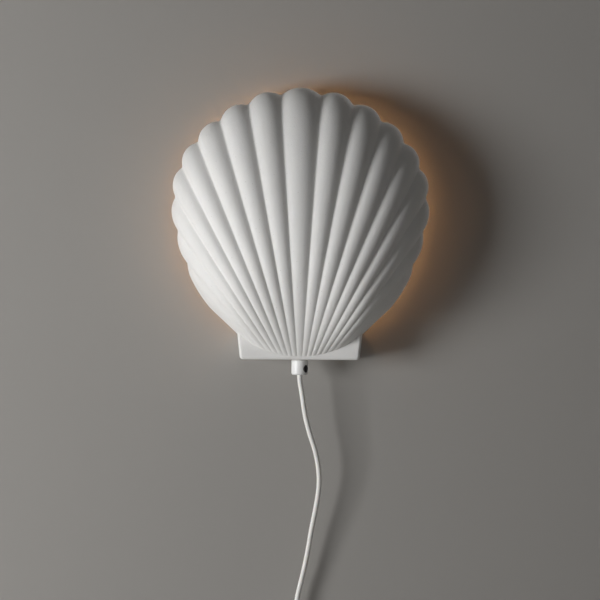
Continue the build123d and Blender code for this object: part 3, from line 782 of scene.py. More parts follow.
@dataclass
class Studio:
    """The pale wall and floor, the lights and the camera."""

    frame_width: float = 0.600
    frame_middle: Point = (0.0, -0.017, -0.127)
    distance: float = 2.6
    sensor: float = 36.0
    roll: float = 0.30
    stage_size: float = 5.0
    floor_z: float = -0.676
    wall_gap: float = 0.0004
    wall_colour: Colour = (0.36, 0.345, 0.325)
    floor_colour: Colour = (0.74, 0.73, 0.71)
    stage_roughness: float = 0.9
    stage_gloss: float = 0.1
    sky: Colour = (0.92, 0.90, 0.88)
    sky_strength: float = 0.045
    sky_seen: float = 0.9
    lamps: tuple[SoftLamp, ...] = (
        SoftLamp("key", (-1.84, -1.30, -0.28), size=0.80, power=36.0, colour=(0.985, 0.992, 1.0)),
        SoftLamp("front_fill", (-0.5, -2.6, -0.4), size=1.6, power=0.4, colour=(0.97, 0.98, 1.0)),
        SoftLamp("back_fill", (0.5, 1.9, 0.5), size=1.2, power=7.0, colour=(1.0, 1.0, 1.0)),
    )

    def build(self) -> None:
        """Makes the camera, the stage, the world and the lamps."""
        bpy.context.scene.view_settings.view_transform = "Standard"
        self._camera()
        half, back, low = self.stage_size / 2, self.wall_gap, self.floor_z
        wall = [(-half, back, low), (half, back, low), (half, back, low + half),
                (-half, back, low + half)]
        floor = [(-half, back, low), (-half, -half, low), (half, -half, low), (half, back, low)]
        self._plane("wall", wall, self.wall_colour)
        self._plane("floor", floor, self.floor_colour)
        self._world()
        for lamp in self.lamps:
            lamp.build(self.frame_middle)

    def _camera(self) -> None:
        """Makes the camera, straight on, with the photograph's slight roll."""
        data = bpy.data.cameras.new("camera")
        data.sensor_width = self.sensor
        data.lens = self.sensor * self.distance / self.frame_width
        camera = new_object("camera", data)
        camera.location = Vector(self.frame_middle) - Vector((0.0, self.distance, 0.0))
        turn = Matrix.Rotation(math.radians(90), 4, "X") @ Matrix.Rotation(
            math.radians(self.roll), 4, "Z")
        camera.rotation_euler = turn.to_euler()
        bpy.context.scene.camera = camera

    def _plane(self, name: str, corners: list[Point], colour: Colour) -> Piece:
        """Makes a flat stage piece that isn't seen from behind and lets lamps through.

        Args:
            name: The piece's name.
            corners: Its corners, counter-clockwise seen from its front.
            colour: Its colour.

        Returns:
            The stage piece.
        """
        mesh = bpy.data.meshes.new(name)
        mesh.from_pydata(corners, [], [(0, 1, 2, 3)])
        material, tree, shader = new_material(f"stage_{name}", {
            "Base Color": (*colour, 1.0), "Roughness": self.stage_roughness,
            "Specular IOR Level": self.stage_gloss})
        behind = Field(tree, add_node(tree, "ShaderNodeNewGeometry").outputs["Backfacing"])
        shadow = add_node(tree, "ShaderNodeLightPath").outputs["Is Shadow Ray"]
        clear = add_node(tree, "ShaderNodeBsdfTransparent")
        mix = add_node(tree, "ShaderNodeMixShader",
                       {0: behind.math("MAXIMUM", Field(tree, shadow)), 1: shader.outputs["BSDF"],
                        2: clear.outputs["BSDF"]})
        feed(tree, tree.nodes["Material Output"].inputs["Surface"], mix.outputs["Shader"])
        mesh.materials.append(material)
        return new_object(name, mesh)

    def _world(self) -> None:
        """Makes an even pale sky, which the camera and metal see as pale too."""
        world = bpy.data.worlds.new("sky")
        world.use_nodes = True
        bpy.context.scene.world = world
        tree = world.node_tree
        background = tree.nodes["Background"]
        background.inputs["Color"].default_value = (*self.sky, 1.0)
        path = add_node(tree, "ShaderNodeLightPath")
        seen = Field(tree, path.outputs["Is Camera Ray"])
        for kind in ("Is Glossy Ray", "Is Transmission Ray"):
            seen = seen.math("MAXIMUM", Field(tree, path.outputs[kind]))
        feed(tree, background.inputs["Strength"],
             seen * (self.sky_seen - self.sky_strength) + self.sky_strength)


# ---------------------------------------------------------------- ceramic casting


@dataclass
class RibbedFan:
    """The fan's sizes and the node tree that grows its ribbed surface from them."""

    apex_z: float = -220.6 * MM
    first_groove: float = 0.0675
    groove_pitch: float = 0.1145
    groove_rim_heights: tuple[float, ...] = (298.1, 289.0, 272.6, 250.5, 225.1, 196.1, 162.3, 129.7)
    centre_rim_height: float = 299.5
    edge_rim_rays: tuple[float, ...] = (0.95, 1.00, 1.03)
    edge_rim_heights: tuple[float, ...] = (109.0, 97.0, 86.0)
    rim_degree: int = 5
    edge_ray: float = 1.03
    foot_arc_radius: float = 97.0 * MM
    foot_arc_height: float = 135.0 * MM
    foot_overrun: float = 1.2 * MM
    crest_share: float = 0.42
    crest_up: float = 0.45
    foot_fullness: float = 0.75
    fan_depth: float = 84.0 * MM
    side_roundness: float = 0.40
    rib_relief: float = 0.17
    rib_roundness: float = 2.2
    valley_radius_share: float = 0.10
    foot_softness: float = 0.55
    soft_reach: float = 80.0 * MM
    rim_gap: float = 14.0 * MM
    rim_edge: float = 6.0 * MM
    plinth_depth: float = 52.0 * MM
    side_inset_reach: float = 55.0 * MM
    groove_crowding: float = 0.6

    @property
    def grooves(self) -> list[float]:
        """The rays of the grooves on one side, from the middle outwards."""
        return [self.first_groove + self.groove_pitch * k for k in range(len(self.groove_rim_heights))]

    def rim(self) -> np.polynomial.Polynomial:
        """The rim's height above the apex, as a polynomial in the ray squared.

        Returns:
            The polynomial.
        """
        rays = [0.0, *self.grooves, *self.edge_rim_rays]
        heights = [self.centre_rim_height, *self.groove_rim_heights, *self.edge_rim_heights]
        fitted = np.polynomial.Polynomial.fit(np.square(rays), np.array(heights) * MM, self.rim_degree)
        return fitted.convert()

    def tree(self) -> Tree:
        """Builds the tree.

        Its inputs are the wall's inset, the steps across each rib, the steps from the last
        groove to each side, the steps upwards, and the material.

        Returns:
            The geometry node tree.
        """
        tree, given, out = new_tree(
            "ribbed_fan", "GeometryNodeTree",
            {"Inset": "Float", "Rib Steps": "Int", "Border Steps": "Int", "Up Steps": "Int",
             "Material": "Material"}, {"Geometry": "Geometry"})
        inset = Field(tree, given["Inset"])
        rib_steps = Field(tree, given["Rib Steps"])
        border_steps = Field(tree, given["Border Steps"])
        ribs = 2 * len(self.grooves) - 1
        across_steps = rib_steps * ribs + border_steps * 2
        grid = add_node(tree, "GeometryNodeMeshGrid",
                        {"Size X": 1.0, "Size Y": 1.0, "Vertices X": across_steps + 1,
                         "Vertices Y": Field(tree, given["Up Steps"]) + 1})
        start = self._split(tree)
        ray = self._ray(start[0] * across_steps, rib_steps, border_steps, inset)
        base = add_node(tree, "GeometryNodeSetPosition",
                        {"Geometry": grid.outputs["Mesh"],
                         "Position": self._groove_point(tree, ray, start[1] + 0.5, inset)})
        ribbed = add_node(tree, "GeometryNodeSetPosition",
                          {"Geometry": base.outputs["Geometry"], "Offset": self._rib_offset(tree)})
        end_geometry(tree, out, ribbed.outputs["Geometry"], given["Material"])
        return tree

    @staticmethod
    def _split(tree: Tree) -> list[Field]:
        """The three coordinates of a point's place."""
        where = add_node(tree, "GeometryNodeInputPosition")
        parts = add_node(tree, "ShaderNodeSeparateXYZ", {"Vector": where.outputs["Position"]})
        return [Field(tree, socket) for socket in parts.outputs]

    def _reach(self, inset: Field) -> Field:
        """The ray of the surface's two sides."""
        return self.edge_ray - inset / self.side_inset_reach

    def _ray(self, step: Field, rib_steps: Field, border_steps: Field, inset: Field) -> Field:
        """The ray of a column of points, crowded towards the grooves.

        Args:
            step: The column's number, counted from the middle.
            rib_steps: Columns across a rib.
            border_steps: Columns from the last groove to a side.
            inset: How far the surface lies inside the outer one.

        Returns:
            The ray, as sideways run per unit of height.
        """
        ribs_out = len(self.grooves) - 0.5
        reach = self._reach(inset)
        count = step.math("ABSOLUTE")
        rib = count / rib_steps
        wave = ((rib + 0.5) * (2 * math.pi)).math("SINE")
        crowded = rib - wave * (self.groove_crowding / (2 * math.pi))
        inner = crowded.below(0.5).choose(crowded * (2 * self.first_groove),
                                          (crowded - 0.5) * self.groove_pitch + self.first_groove)
        turned = (reach * 0.0 + self.grooves[-1]).math("DIVIDE", reach).math("ARCSINE")
        share = ((count - rib_steps * ribs_out) / border_steps).math("MINIMUM", 1.0)
        border = (turned + (math.pi / 2 - turned) * share).math("SINE") * reach
        size = rib.below(ribs_out + COLUMN_SLACK).choose(inner, border)
        return size * step.math("SIGN")

    def _groove_point(self, tree: Tree, ray: Field, up: Field, inset: Field) -> Socket:
        """A place on the surface that runs through the grooves.

        Args:
            tree: The tree.
            ray: The column's ray.
            up: 0 at the foot and 1 at the rim.
            inset: How far the surface lies inside the outer one.

        Returns:
            The place.
        """
        reach = self._reach(inset)
        side = (ray / reach).math("MAXIMUM", -1.0).math("MINIMUM", 1.0)
        fullness = (1.0 - side * side) ** self.side_roundness
        rim = self._rim_height(ray, inset)
        foot = self._foot_height(ray) + inset / 2
        crest = foot + (rim - foot) * self.crest_share
        level = self.rim_gap + self.rim_edge
        deepest = (self.fan_depth - inset) * fullness + level
        foot_depth = ((deepest - level) * self.foot_fullness + level).math(
            "MINIMUM", self.plinth_depth - inset)
        below = crest - foot
        run = (below + self.foot_overrun) / below * (1.0 - up / self.crest_up)
        low_height = crest - below * run
        low_depth = deepest - (deepest - foot_depth) * run * run
        turn = (up - self.crest_up) * (math.pi / 2 / (1 - self.crest_up))
        high_height = crest + (rim - crest) * turn.math("SINE")
        high_depth = (deepest - level) * turn.math("COSINE") + level
        lower = up.below(self.crest_up)
        height = lower.choose(low_height, high_height)
        depth = lower.choose(low_depth, high_depth)
        joined = add_node(tree, "ShaderNodeCombineXYZ",
                          {"X": ray * height, "Y": depth * -1.0, "Z": height + self.apex_z})
        return joined.outputs["Vector"]

    def _rim_height(self, ray: Field, inset: Field) -> Field:
        """Height above the apex where a ray ends at the rim, moved in by the inset.

        Args:
            ray: The column's ray.
            inset: How far the surface lies inside the outer one.

        Returns:
            The height.
        """
        rim = self.rim()
        square = ray * ray
        height = polynomial(square, rim.coef)
        slope = polynomial(square, rim.deriv().coef) * ray * 2.0
        along = height + ray * slope
        return height - inset * (along * along + slope * slope).math("SQRT") / height

    def _foot_height(self, ray: Field) -> Field:
        """Height above the apex where a ray crosses the foot's arc."""
        spread = ray * ray + 1.0
        inside = self.foot_arc_height**2 - spread * (self.foot_arc_height**2 - self.foot_arc_radius**2)
        return (self.foot_arc_height - inside.math("MAXIMUM", 0.0).math("SQRT")) / spread

    def _rib_offset(self, tree: Tree) -> Socket:
        """How far, and which way, each point of the groove surface is raised by its rib.

        Args:
            tree: The tree.

        Returns:
            The offset.
        """
        x, _, z = self._split(tree)
        height = z - self.apex_z
        ray = (x / height).math("ABSOLUTE")
        middle = ray / self.first_groove
        outer = (((ray - self.first_groove) / self.groove_pitch).math("FRACT") * 2.0 - 1.0).math(
            "ABSOLUTE")
        across = ray.below(self.first_groove).choose(middle, outer)
        across = across * ray.below(self.grooves[-1] + self.groove_pitch / 2)
        valley = self.valley_radius_share
        from_groove = 1.0 - across
        rounded = (from_groove * from_groove + valley**2).math("SQRT") - valley
        full = math.sqrt(1 + valley**2) - valley
        profile = 1.0 - (1.0 - rounded / full) ** self.rib_roundness
        above_foot = height - (self.foot_arc_height - self.foot_arc_radius)
        softened = (1.0 - above_foot / self.soft_reach).math("MAXIMUM", 0.0) * self.foot_softness
        rise = profile * height * (self.rib_relief * self.groove_pitch) * (1.0 - softened)
        normal = add_node(tree, "GeometryNodeInputNormal").outputs["Normal"]
        scaled = add_node(tree, "ShaderNodeVectorMath", {0: normal, "Scale": rise},
                          operation="SCALE")
        return scaled.outputs["Vector"]


@dataclass
class CeramicShell:
    """The one white casting: the ribbed fan on its plinth, hollow from behind."""

    fan: RibbedFan = field(default_factory=RibbedFan)
    wall: float = 6.0 * MM
    rim_edge_radius: float = 1.3 * MM
    plinth_width_top: float = 124.0 * MM
    plinth_width_bottom: float = 118.0 * MM
    plinth_bottom_z: float = -186.0 * MM
    plinth_top_z: float = -158.0 * MM
    plinth_back_y: float = -1.0 * MM
    plinth_corner_radius: float = 3.5 * MM
    plinth_edge_radius: float = 3.0 * MM
    entry_radius: float = 5.3 * MM
    entry_y: float = -30.0 * MM
    sharp_from: float = 50.0
    outer_steps: tuple[int, int, int] = (22, 14, 120)
    inner_steps: tuple[int, int, int] = (10, 8, 56)
    rim_steps: int = 4
    bevel_steps: int = 8
    overshoot: float = 1.0 * MM

    def build(self, material: Material) -> None:
        """Makes the casting and puts it in its node's place.

        Args:
            material: Its finish.
        """
        tree = self.fan.tree()
        shell = self._closed(tree, "casting_outside", 0.0, self.outer_steps)
        inside = self._closed(tree, "casting_inside", self.wall, self.inner_steps)
        floor = self.plinth_bottom_z + self.wall
        entry = Vector((0.0, self.entry_y, floor))
        hole = bar("entry", entry - Vector((0, 0, 2 * self.wall)), entry + Vector((0, 0, self.wall)),
                   self.entry_radius)
        change(shell, [(Cut.JOIN, self._plinth()), (Cut.REMOVE, self._pocket(floor)),
                       (Cut.REMOVE, inside), (Cut.REMOVE, hole)])
        shell.name = "shell_casting"
        place(smooth(shell, self.sharp_from), Body.LAMP, "bisque_ceramic", material,
              "ceramic_shell")

    def _closed(self, tree: Tree, name: str, inset: float, steps: tuple[int, int, int]) -> Piece:
        """Grows the ribbed surface and closes it behind, with a rounded rim.

        Args:
            tree: The fan's tree.
            name: The solid's name.
            inset: 0 for the outside and the wall's thickness for the inside.
            steps: Steps across a rib, from the last groove to a side, and upwards.

        Returns:
            The closed solid.
        """
        grid = grown(name, tree, dict(zip(("Inset", "Rib Steps", "Border Steps", "Up Steps"),
                                          (inset, *steps))))
        back = -self.fan.rim_gap
        stations = quarter_round(back - self.rim_edge_radius, back, self.rim_edge_radius,
                                 self.rim_steps)[1:]
        if inset:
            stations = [(y, -offset) for y, offset in stations]
            stations.append((self.overshoot, self.rim_edge_radius))
        work = bmesh.new()
        work.from_mesh(grid.data)
        self._close_behind(work, stations)
        bpy.data.objects.remove(grid)
        return from_bmesh(name, work)

    @staticmethod
    def _close_behind(work: bmesh.types.BMesh, stations: Outline) -> None:
        """Adds rings behind a surface's border and a cap on the last.

        Args:
            work: The open surface.
            stations: Each ring's y and how far it lies outside the border.
        """
        edge = next(e for e in work.edges if e.is_boundary)
        border = [edge.verts[0]]
        here = edge.verts[1]
        while here is not border[0]:
            border.append(here)
            edge = next(e for e in here.link_edges if e.is_boundary and e is not edge)
            here = edge.other_vert(here)
        flat = np.array([(v.co.x, v.co.z) for v in border])
        normals = outline_normals(flat)
        ring = border
        for y, offset in stations:
            places = flat + normals * offset
            after = [work.verts.new((px, y, pz)) for px, pz in places]
            skin(work, ring, after)
            ring = after
        work.faces.new(ring)

    def _outline(self, inset: float, bottom: float, top: float) -> Outline:
        """The plinth's tapered front outline between two heights.

        Args:
            inset: How far it lies inside the plinth's sides.
            bottom: The lower height.
            top: The upper height.

        Returns:
            Its corners as x and z.
        """
        height = self.plinth_top_z - self.plinth_bottom_z
        sides = []
        for z in (bottom, top):
            share = (z - self.plinth_bottom_z) / height
            width = self.plinth_width_bottom + (self.plinth_width_top - self.plinth_width_bottom) * share
            sides.append((width / 2 - inset, z))
        (low, _), (high, _) = sides
        return [(-low, bottom), (low, bottom), (high, top), (-high, top)]

    def _plinth(self) -> Piece:
        """The plinth's block, rounded at its lower corners and round its front.

        Returns:
            The block.
        """
        corners = self._outline(0.0, self.plinth_bottom_z, self.plinth_top_z)
        work = bmesh.new()
        rings = [[work.verts.new((x, y, z)) for x, z in corners]
                 for y in (self.plinth_back_y, -self.fan.plinth_depth)]
        skin(work, *rings)
        work.faces.new(rings[0])
        work.faces.new(rings[1])
        bmesh.ops.recalc_face_normals(work, faces=work.faces)
        low = [e for e in work.edges
               if all(v.co.z < self.plinth_bottom_z + MM for v in e.verts)
               and abs(e.verts[0].co.y - e.verts[1].co.y) > MM]
        bmesh.ops.bevel(work, geom=low, offset=self.plinth_corner_radius,
                        segments=self.bevel_steps, profile=0.5, affect="EDGES")
        front = [e for e in work.edges
                 if all(abs(v.co.y + self.fan.plinth_depth) < MM / 10 for v in e.verts)
                 and any(v.co.z < self.plinth_top_z - MM for v in e.verts)]
        bmesh.ops.bevel(work, geom=front, offset=self.plinth_edge_radius,
                        segments=self.bevel_steps, profile=0.5, affect="EDGES")
        return from_bmesh("plinth_block", work)

    def _pocket(self, floor: float) -> Piece:
        """The hollow of the plinth, as a tool."""
        outline = self._outline(self.wall, floor, self.plinth_top_z + 2 * self.overshoot)
        return slab("pocket", outline,
                    [(self.overshoot, 0.0), (self.wall - self.fan.plinth_depth, 0.0)])


# ---------------------------------------------------------------- grip and bulb


@dataclass
class CordGrip:
    """The round grip under the plinth, with a recess for its clamp screw."""

    edge_radius: float = 2.0 * MM
    bevel: float = 0.5 * MM
    bore: float = 2.7 * MM
    screw_height: float = 6.1 * MM
    edge_steps: int = 8
    screw_turn: float = 56.0
    recess_radius: float = 4.0 * MM
    recess_depth: float = 2.4 * MM

    def build(self, material: Material) -> None:
        """Turns the grip, sinks the screw's recess and puts it in its node's place.

        Args:
            material: Its finish.
        """
        low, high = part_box("cord_grip")
        x, y, _ = middle_of(low, high)
        radius = (high.x - low.x) / 2
        edge = quarter_round(0.0, radius, self.edge_radius, self.edge_steps)[1:]
        outline = [(self.bore, low.z + self.bevel), (self.bore + self.bevel, low.z),
                   *((across, low.z - offset) for across, offset in edge),
                   (radius, high.z - self.bevel), (radius - self.bevel, high.z),
                   (self.bore + self.bevel, high.z), (self.bore, high.z - self.bevel)]
        grip = lathe("grip_body", outline, x, y, hollow=True)
        turn = math.radians(self.screw_turn)
        aim = Vector((math.sin(turn), -math.cos(turn), 0.0))
        middle = Vector((x, y, low.z + self.screw_height))
        recess = bar("recess", middle + aim * (radius - self.recess_depth),
                     middle + aim * (radius + MM), self.recess_radius)
        change(grip, [(Cut.REMOVE, recess)])
        place(smooth(grip), Body.LAMP, "white_plastic", material, "cord_grip")


@dataclass
class Bulb:
    """The lit opal golf-ball bulb."""

    globe_radius: float = 22.5 * MM
    neck_radius: float = 8.2 * MM
    join_angle: float = -52.0
    neck_lean: float = 0.25
    neck_steps: int = 12
    globe_steps: int = 40

    def build(self, material: Material) -> None:
        """Turns the globe with its waisted neck and puts it in its node's place.

        Args:
            material: Its finish.
        """
        low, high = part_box("bulb_globe")
        x, y, _ = middle_of(low, high)
        centre = high.z - self.globe_radius
        start = math.radians(self.join_angle)
        base = np.array([self.neck_radius, low.z])
        join = np.array([self.globe_radius * math.cos(start),
                         centre + self.globe_radius * math.sin(start)])
        length = np.linalg.norm(join - base)
        leave = np.array([self.neck_lean, 1.0]) / math.hypot(self.neck_lean, 1.0) * length
        meet = np.array([-math.sin(start), math.cos(start)]) * length
        outline = [(0.0, low.z)]
        for step in range(self.neck_steps + 1):
            t = step / self.neck_steps
            point = ((2 * t**3 - 3 * t**2 + 1) * base + (t**3 - 2 * t**2 + t) * leave
                     + (3 * t**2 - 2 * t**3) * join + (t**3 - t**2) * meet)
            outline.append((float(point[0]), float(point[1])))
        for step in range(1, self.globe_steps + 1):
            turn = start + (math.pi / 2 - start) * step / self.globe_steps
            across = self.globe_radius * math.cos(turn) if step < self.globe_steps else 0.0
            outline.append((across, centre + self.globe_radius * math.sin(turn)))
        place(smooth(lathe("bulb_glass", outline, x, y)), Body.BULB, "bulb_glass", material,
              "bulb_globe")


# ---------------------------------------------------------------- flex


@dataclass
class Flex:
    """The free flex: a stretch down to the switch, then a wound-up rest with the plug."""

    diameter: float = 5.0 * MM
    upper_route: tuple[Point, ...] = (
        (0.0, -0.030, -0.2015), (0.0, -0.030, -0.207), (0.0024, -0.0298, -0.219),
        (0.0049, -0.0288, -0.238), (0.0096, -0.0273, -0.258), (0.0175, -0.0248, -0.281),
        (0.0209, -0.022, -0.307), (0.0176, -0.0192, -0.332), (0.0126, -0.0166, -0.356),
        (0.0088, -0.0142, -0.381), (0.0038, -0.0122, -0.404), (-0.0026, -0.011, -0.430),
        (-0.0026, -0.011, -0.441),
    )
    lower_route: tuple[Point, ...] = (
        (-0.0026, -0.011, -0.503), (-0.0026, -0.011, -0.521), (0.0048, -0.0054, -0.539),
        (0.0175, -0.0054, -0.5517),
    )
    coil_radius: float = 40.0 * MM
    turn_pitch: float = 5.5 * MM
    layer_pitch: float = 5.5 * MM
    near_y: float = -5.4 * MM
    stub: float = 5.0 * MM
    entry_angle: float = math.radians(45)
    sweep: float = math.radians(360 * 7 + 45)
    points_per_turn: int = 24
    tail: float = 30.0 * MM
    upper_length: float = 0.245
    lower_length: float = 1.449

    def coil_points(self) -> list[Vector]:
        """Points of the wound turns: inwards on one layer, a climb, and outwards on the next.

        Returns:
            The points, from where the flex enters to where it leaves.
        """
        end = Vector(self.lower_route[-1])
        enter = end + Vector((math.cos(self.entry_angle), 0.0, -math.sin(self.entry_angle))) * self.stub
        middle = enter - Vector((math.cos(self.entry_angle), 0.0,
                                 math.sin(self.entry_angle))) * self.coil_radius
        count = round(self.sweep / (2 * math.pi) * self.points_per_turn)
        points = []
        for k in range(count + 1):
            travel = self.sweep * k / count
            wound = min(travel, self.sweep - travel)
            radius = self.coil_radius - self.turn_pitch * wound / (2 * math.pi)
            climb = min(max(travel - self.sweep / 2 + math.pi / 2, 0.0), math.pi)
            y = self.near_y - self.layer_pitch * (1 - math.cos(climb)) / 2
            angle = self.entry_angle - travel
            points.append(Vector((middle.x + radius * math.cos(angle), y,
                                  middle.z + radius * math.sin(angle))))
        return points

    def build(self, material: Material, switch: list[Piece], plug: list[Piece]) -> None:
        """Args:
            material: The sheath's finish.
            switch: The pieces of the in-line switch; not used.
            plug: The tie and the pieces of the plug; not used.
        """
        upper = self._line("flex_upper", list(self.upper_route))
        place(upper, Body.LAMP, "cord_pvc", material, "cord_upper")
        turns = self.coil_points()
        down = Vector((0.0, 0.0, -1.0))
        tail = [turns[-1] + down * (self.stub + self.tail * share) for share in (0.0, 0.5, 1.0)]
        lower = self._line("flex_lower", [*self.lower_route, *map(tuple, turns), *map(tuple, tail)])
        place(lower, Body.LAMP, "cord_pvc", material, "cord_lower", "cord_coil", "cord_tail")

    def _line(self, name: str, points: list[Point]) -> Piece:
        """Makes a round flex on one smooth curve with these control points.

        Args:
            name: The flex's name.
            points: The control points.

        Returns:
            The flex.
        """
        curve = bpy.data.curves.new(name, "CURVE")
        curve.dimensions = "3D"
        curve.bevel_depth = self.diameter / 2
        curve.bevel_resolution = 5
        curve.resolution_u = 6
        curve.use_fill_caps = True
        spline = curve.splines.new("NURBS")
        spline.points.add(len(points) - 1)
        for point, where in zip(spline.points, points):
            point.co = (*where, 1.0)
        spline.order_u = 3
        spline.use_endpoint_u = True
        return new_object(name, curve)


# ---------------------------------------------------------------- switch and plug


@dataclass
class InlineSwitch:
    """The two halves of the switch's housing; its rocker, pin and screws are the frame's."""

    corner_radius: float = 6.0 * MM
    edge_radius: float = 2.0 * MM
    seam: float = 0.35 * MM
    slot_margin: float = 0.35 * MM
    slot_depth: float = 5.5 * MM
    screw_places: tuple[tuple[float, float], ...] = ((-6.8 * MM, 23.5 * MM), (6.8 * MM, -23.5 * MM))
    screw_seat_radius: float = 2.7 * MM
    screw_seat_depth: float = 2.0 * MM

    def build(self, material: Material) -> list[Piece]:
        """Makes both halves.

        Args:
            material: Their finish.

        Returns:
            The switch's pieces, the frame's among them.
        """
        low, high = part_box("switch_base")
        mid_x, _, mid_z = middle_of(low, high)
        front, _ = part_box("switch_cover")
        outline = round_corners(rectangle(low.x, high.x, low.z, high.z), self.corner_radius)
        base = slab("switch_back_half", outline, self._half(low.y, high.y))
        cover = slab("switch_front_half", outline, self._half(low.y, front.y))
        seats = []
        for x, z in self.screw_places:
            where = Vector((mid_x + x, high.y, mid_z + z))
            seats.append((Cut.REMOVE, bar("seat", where - Vector((0, self.screw_seat_depth, 0)),
                                          where + Vector((0, MM, 0)), self.screw_seat_radius)))
        change(base, seats)
        rocker_low, rocker_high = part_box("switch_rocker")
        half_x = (rocker_high.x - rocker_low.x) / 2 + self.slot_margin
        half_z = (rocker_high.z - rocker_low.z) / 2 + self.slot_margin
        window = rectangle(mid_x - half_x, mid_x + half_x, mid_z - half_z, mid_z + half_z)
        slot = slab("slot", window, [(front.y - MM, 0.0), (front.y + self.slot_depth, 0.0)])
        change(cover, [(Cut.REMOVE, slot)])
        for half, node in ((base, "switch_base"), (cover, "switch_cover")):
            place(smooth(half), Body.LAMP, "white_plastic", material, node)
        nodes = frame["nodes"]
        return [base, cover, nodes["switch_rocker"], nodes["rocker_pin"], nodes["switch_screws"]]

    def _half(self, seam_y: float, face_y: float) -> Outline:
        """Stations of one half, with a fine groove at the seam and a rounded face."""
        way = math.copysign(self.seam, face_y - seam_y)
        return [(seam_y, -self.seam), *quarter_round(seam_y + way, face_y, self.edge_radius)]


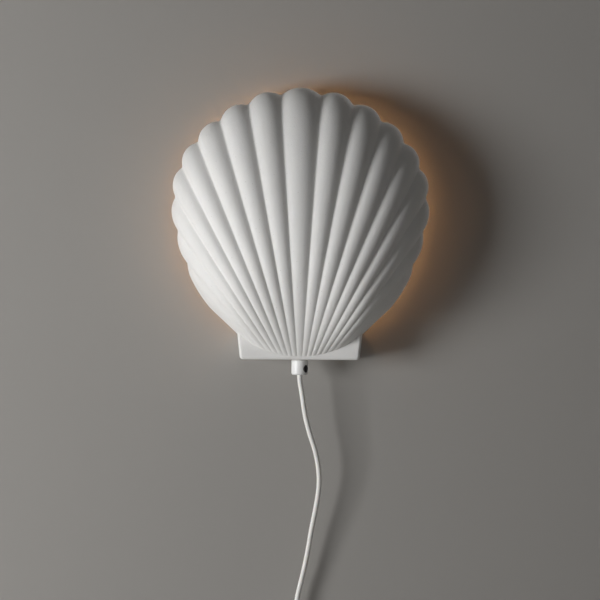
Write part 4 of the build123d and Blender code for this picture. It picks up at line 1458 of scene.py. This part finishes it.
@dataclass
class Plug:
    """The flat plug's body with grip ridges and the flex's strain relief."""

    shoulder: float = 14.0 * MM
    shoulder_inset: float = 2.0 * MM
    shoulder_drop: float = 6.0 * MM
    neck: float = 6.0 * MM
    corner_radius: float = 3.0 * MM
    edge_radius: float = 2.5 * MM
    ridge_count: int = 5
    ridge_step: float = 3.0 * MM
    ridge_radius: float = 0.9 * MM
    ridge_width: float = 0.62
    ridge_sunk: float = 0.35
    first_ridge: float = 7.0 * MM
    relief_length: float = 22.0 * MM
    relief_rings: int = 5
    relief_foot: float = 5.0 * MM
    relief_tip: float = 3.3 * MM
    relief_bore: float = 2.45 * MM
    relief_bevel: float = 0.2 * MM
    ring_profile: tuple[tuple[float, float], ...] = (
        (0.10, 0.0), (0.60, 0.0), (0.70, 0.7 * MM), (0.95, 0.7 * MM))

    def build(self, material: Material) -> list[Piece]:
        """Makes the body, its ridges and the strain relief.

        Args:
            material: Their finish.

        Returns:
            The plug's pieces, the frame's among them.
        """
        low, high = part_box("plug_body")
        x, y, _ = middle_of(low, high)
        half = (high.x - low.x) / 2
        bend = high.z - self.shoulder
        side_top = bend - self.shoulder_drop
        corners = [(x - half, low.z), (x + half, low.z), (x + half, side_top),
                   (x + half - self.shoulder_inset, bend), (x + self.neck, high.z),
                   (x - self.neck, high.z), (x - half + self.shoulder_inset, bend),
                   (x - half, side_top)]
        outline = round_corners(corners, self.corner_radius)
        stations = quarter_round(y, high.y, self.edge_radius)
        mirrored = [(2 * y - place_y, offset) for place_y, offset in reversed(stations[1:])]
        body = slab("plug_shell", outline, mirrored + stations[1:])
        place(smooth(body), Body.LAMP, "white_plastic", material, "plug_body")
        sunk = self.ridge_radius * self.ridge_sunk
        first = low.z + self.first_ridge
        ridges = grown("plug_ridges", self._ridge_tree(), {
            "Count": self.ridge_count, "Step": self.ridge_step, "Radius": self.ridge_radius,
            "Length": self.ridge_width * half * 2, "Material": material,
            "Front": (x, low.y + sunk, first), "Back": (x, high.y - sunk, first)})
        place(smooth(ridges), Body.LAMP, "white_plastic", material)
        relief = self._relief(material)
        nodes = frame["nodes"]
        return [body, ridges, relief, nodes["plug_pins"], nodes["pin_sleeves"]]

    def _ridge_tree(self) -> Tree:
        """Builds the tree that lays rows of round ridges on the plug's two faces.

        Returns:
            The geometry node tree.
        """
        tree, given, out = new_tree(
            "grip_ridges", "GeometryNodeTree",
            {"Count": "Int", "Step": "Float", "Radius": "Float", "Length": "Float",
             "Front": "Vector", "Back": "Vector", "Material": "Material"},
            {"Geometry": "Geometry"})
        step = add_node(tree, "ShaderNodeCombineXYZ", {"Z": given["Step"]})
        ridge = add_node(tree, "GeometryNodeMeshCylinder",
                         {"Vertices": 16, "Side Segments": 1, "Radius": given["Radius"],
                          "Depth": given["Length"]})
        join = add_node(tree, "GeometryNodeJoinGeometry")
        for side in ("Front", "Back"):
            row = add_node(tree, "GeometryNodeMeshLine",
                           {"Count": given["Count"], "Start Location": given[side],
                            "Offset": step.outputs["Vector"]})
            laid = add_node(tree, "GeometryNodeInstanceOnPoints",
                            {"Points": row.outputs["Mesh"], "Instance": ridge.outputs["Mesh"],
                             "Rotation": (0.0, math.pi / 2, 0.0)})
            tree.links.new(laid.outputs["Instances"], join.inputs["Geometry"])
        end_geometry(tree, out, join.outputs["Geometry"], given["Material"])
        return tree

    def _relief(self, material: Material) -> Piece:
        """Turns the tapered strain relief round the flex above the plug.

        Each of its rings has a profile of shares of its length and depths under its radius.

        Args:
            material: Its finish.

        Returns:
            The strain relief.
        """
        low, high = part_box("cord_tail")
        x, y, _ = middle_of(low, high)
        bore = self.relief_bore
        run = self.relief_length / self.relief_rings
        outline = [(bore, low.z - MM), (self.relief_foot, low.z - MM)]
        for ring in range(self.relief_rings):
            foot = low.z + self.relief_length * ring / self.relief_rings
            radius = self.relief_foot + (self.relief_tip - self.relief_foot) * ring / self.relief_rings
            outline += [(radius - depth, foot + share * run) for share, depth in self.ring_profile]
        top = low.z + self.relief_length
        outline += [(self.relief_tip - self.relief_bevel, top), (bore, top)]
        relief = lathe("plug_relief", outline, x, y, hollow=True, segments=48)
        return place(smooth(relief), Body.LAMP, "white_plastic", material)


# ---------------------------------------------------------------- whole lamp


NODE_FINISHES: dict[Finish, tuple[str, ...]] = {
    HOLDER_MOULDED: ("holder_cap", "holder_sleeve"),
    STEATITE: ("holder_insert",),
    CREAM_SHEATH: ("lead_in",),
    BROWN_SHEATH: ("live_wire",),
    BLUE_SHEATH: ("neutral_wire",),
    ZINC: ("wall_plate", "carrier_strap", "nipple", "hex_nut", "lock_washer", "switch_screws",
           "rocker_pin"),
    BLACKENED: ("grip_screw",),
    BRASS: ("screw_shell", "centre_contact", "terminal_screws", "switch_contacts"),
    NICKEL: ("plug_pins",),
    ROLLED_ALUMINIUM: ("bulb_cap",),
    VITRITE: ("bulb_insulator",),
    SOLDER: ("bulb_contact",),
    WHITE_MOULDED: ("pin_sleeves",),
    SOFT_PAD: ("wall_pads", "grip_washer"),
    TIE_MOULDED: ("coil_tie",),
    ROCKER_GLOSS: ("switch_rocker",),
}


def dress_nodes(effects: Effects, built: dict[Finish, Material]) -> None:
    """Gives the frame's own pieces their finishes.

    Args:
        effects: The shared shader groups.
        built: Finishes that already have a material, which more are added to.
    """
    for finish, names in NODE_FINISHES.items():
        if finish not in built:
            built[finish] = finish.build(effects)
        for name in names:
            node = frame["nodes"][name]
            node.data.materials.clear()
            node.data.materials.append(built[finish])
            LOG.info("%s is the frame's own, in %s", name, finish.name)


def main() -> None:
    """Builds the lamp piece by piece, then its stage."""
    logging.basicConfig(level=logging.INFO, format="%(message)s")
    effects = Effects()
    Studio().build()
    built = {finish: finish.build(effects) for finish in (CERAMIC, WHITE_MOULDED, CREAM_SHEATH)}
    CeramicShell().build(built[CERAMIC])
    CordGrip().build(built[WHITE_MOULDED])
    Bulb().build(OpalGlow().build())
    switch = InlineSwitch().build(built[WHITE_MOULDED])
    plug = Plug().build(built[WHITE_MOULDED])
    Flex().build(built[CREAM_SHEATH], switch, [*plug, frame["nodes"]["coil_tie"]])
    dress_nodes(effects, built)


if __name__ == "__main__":
    main()
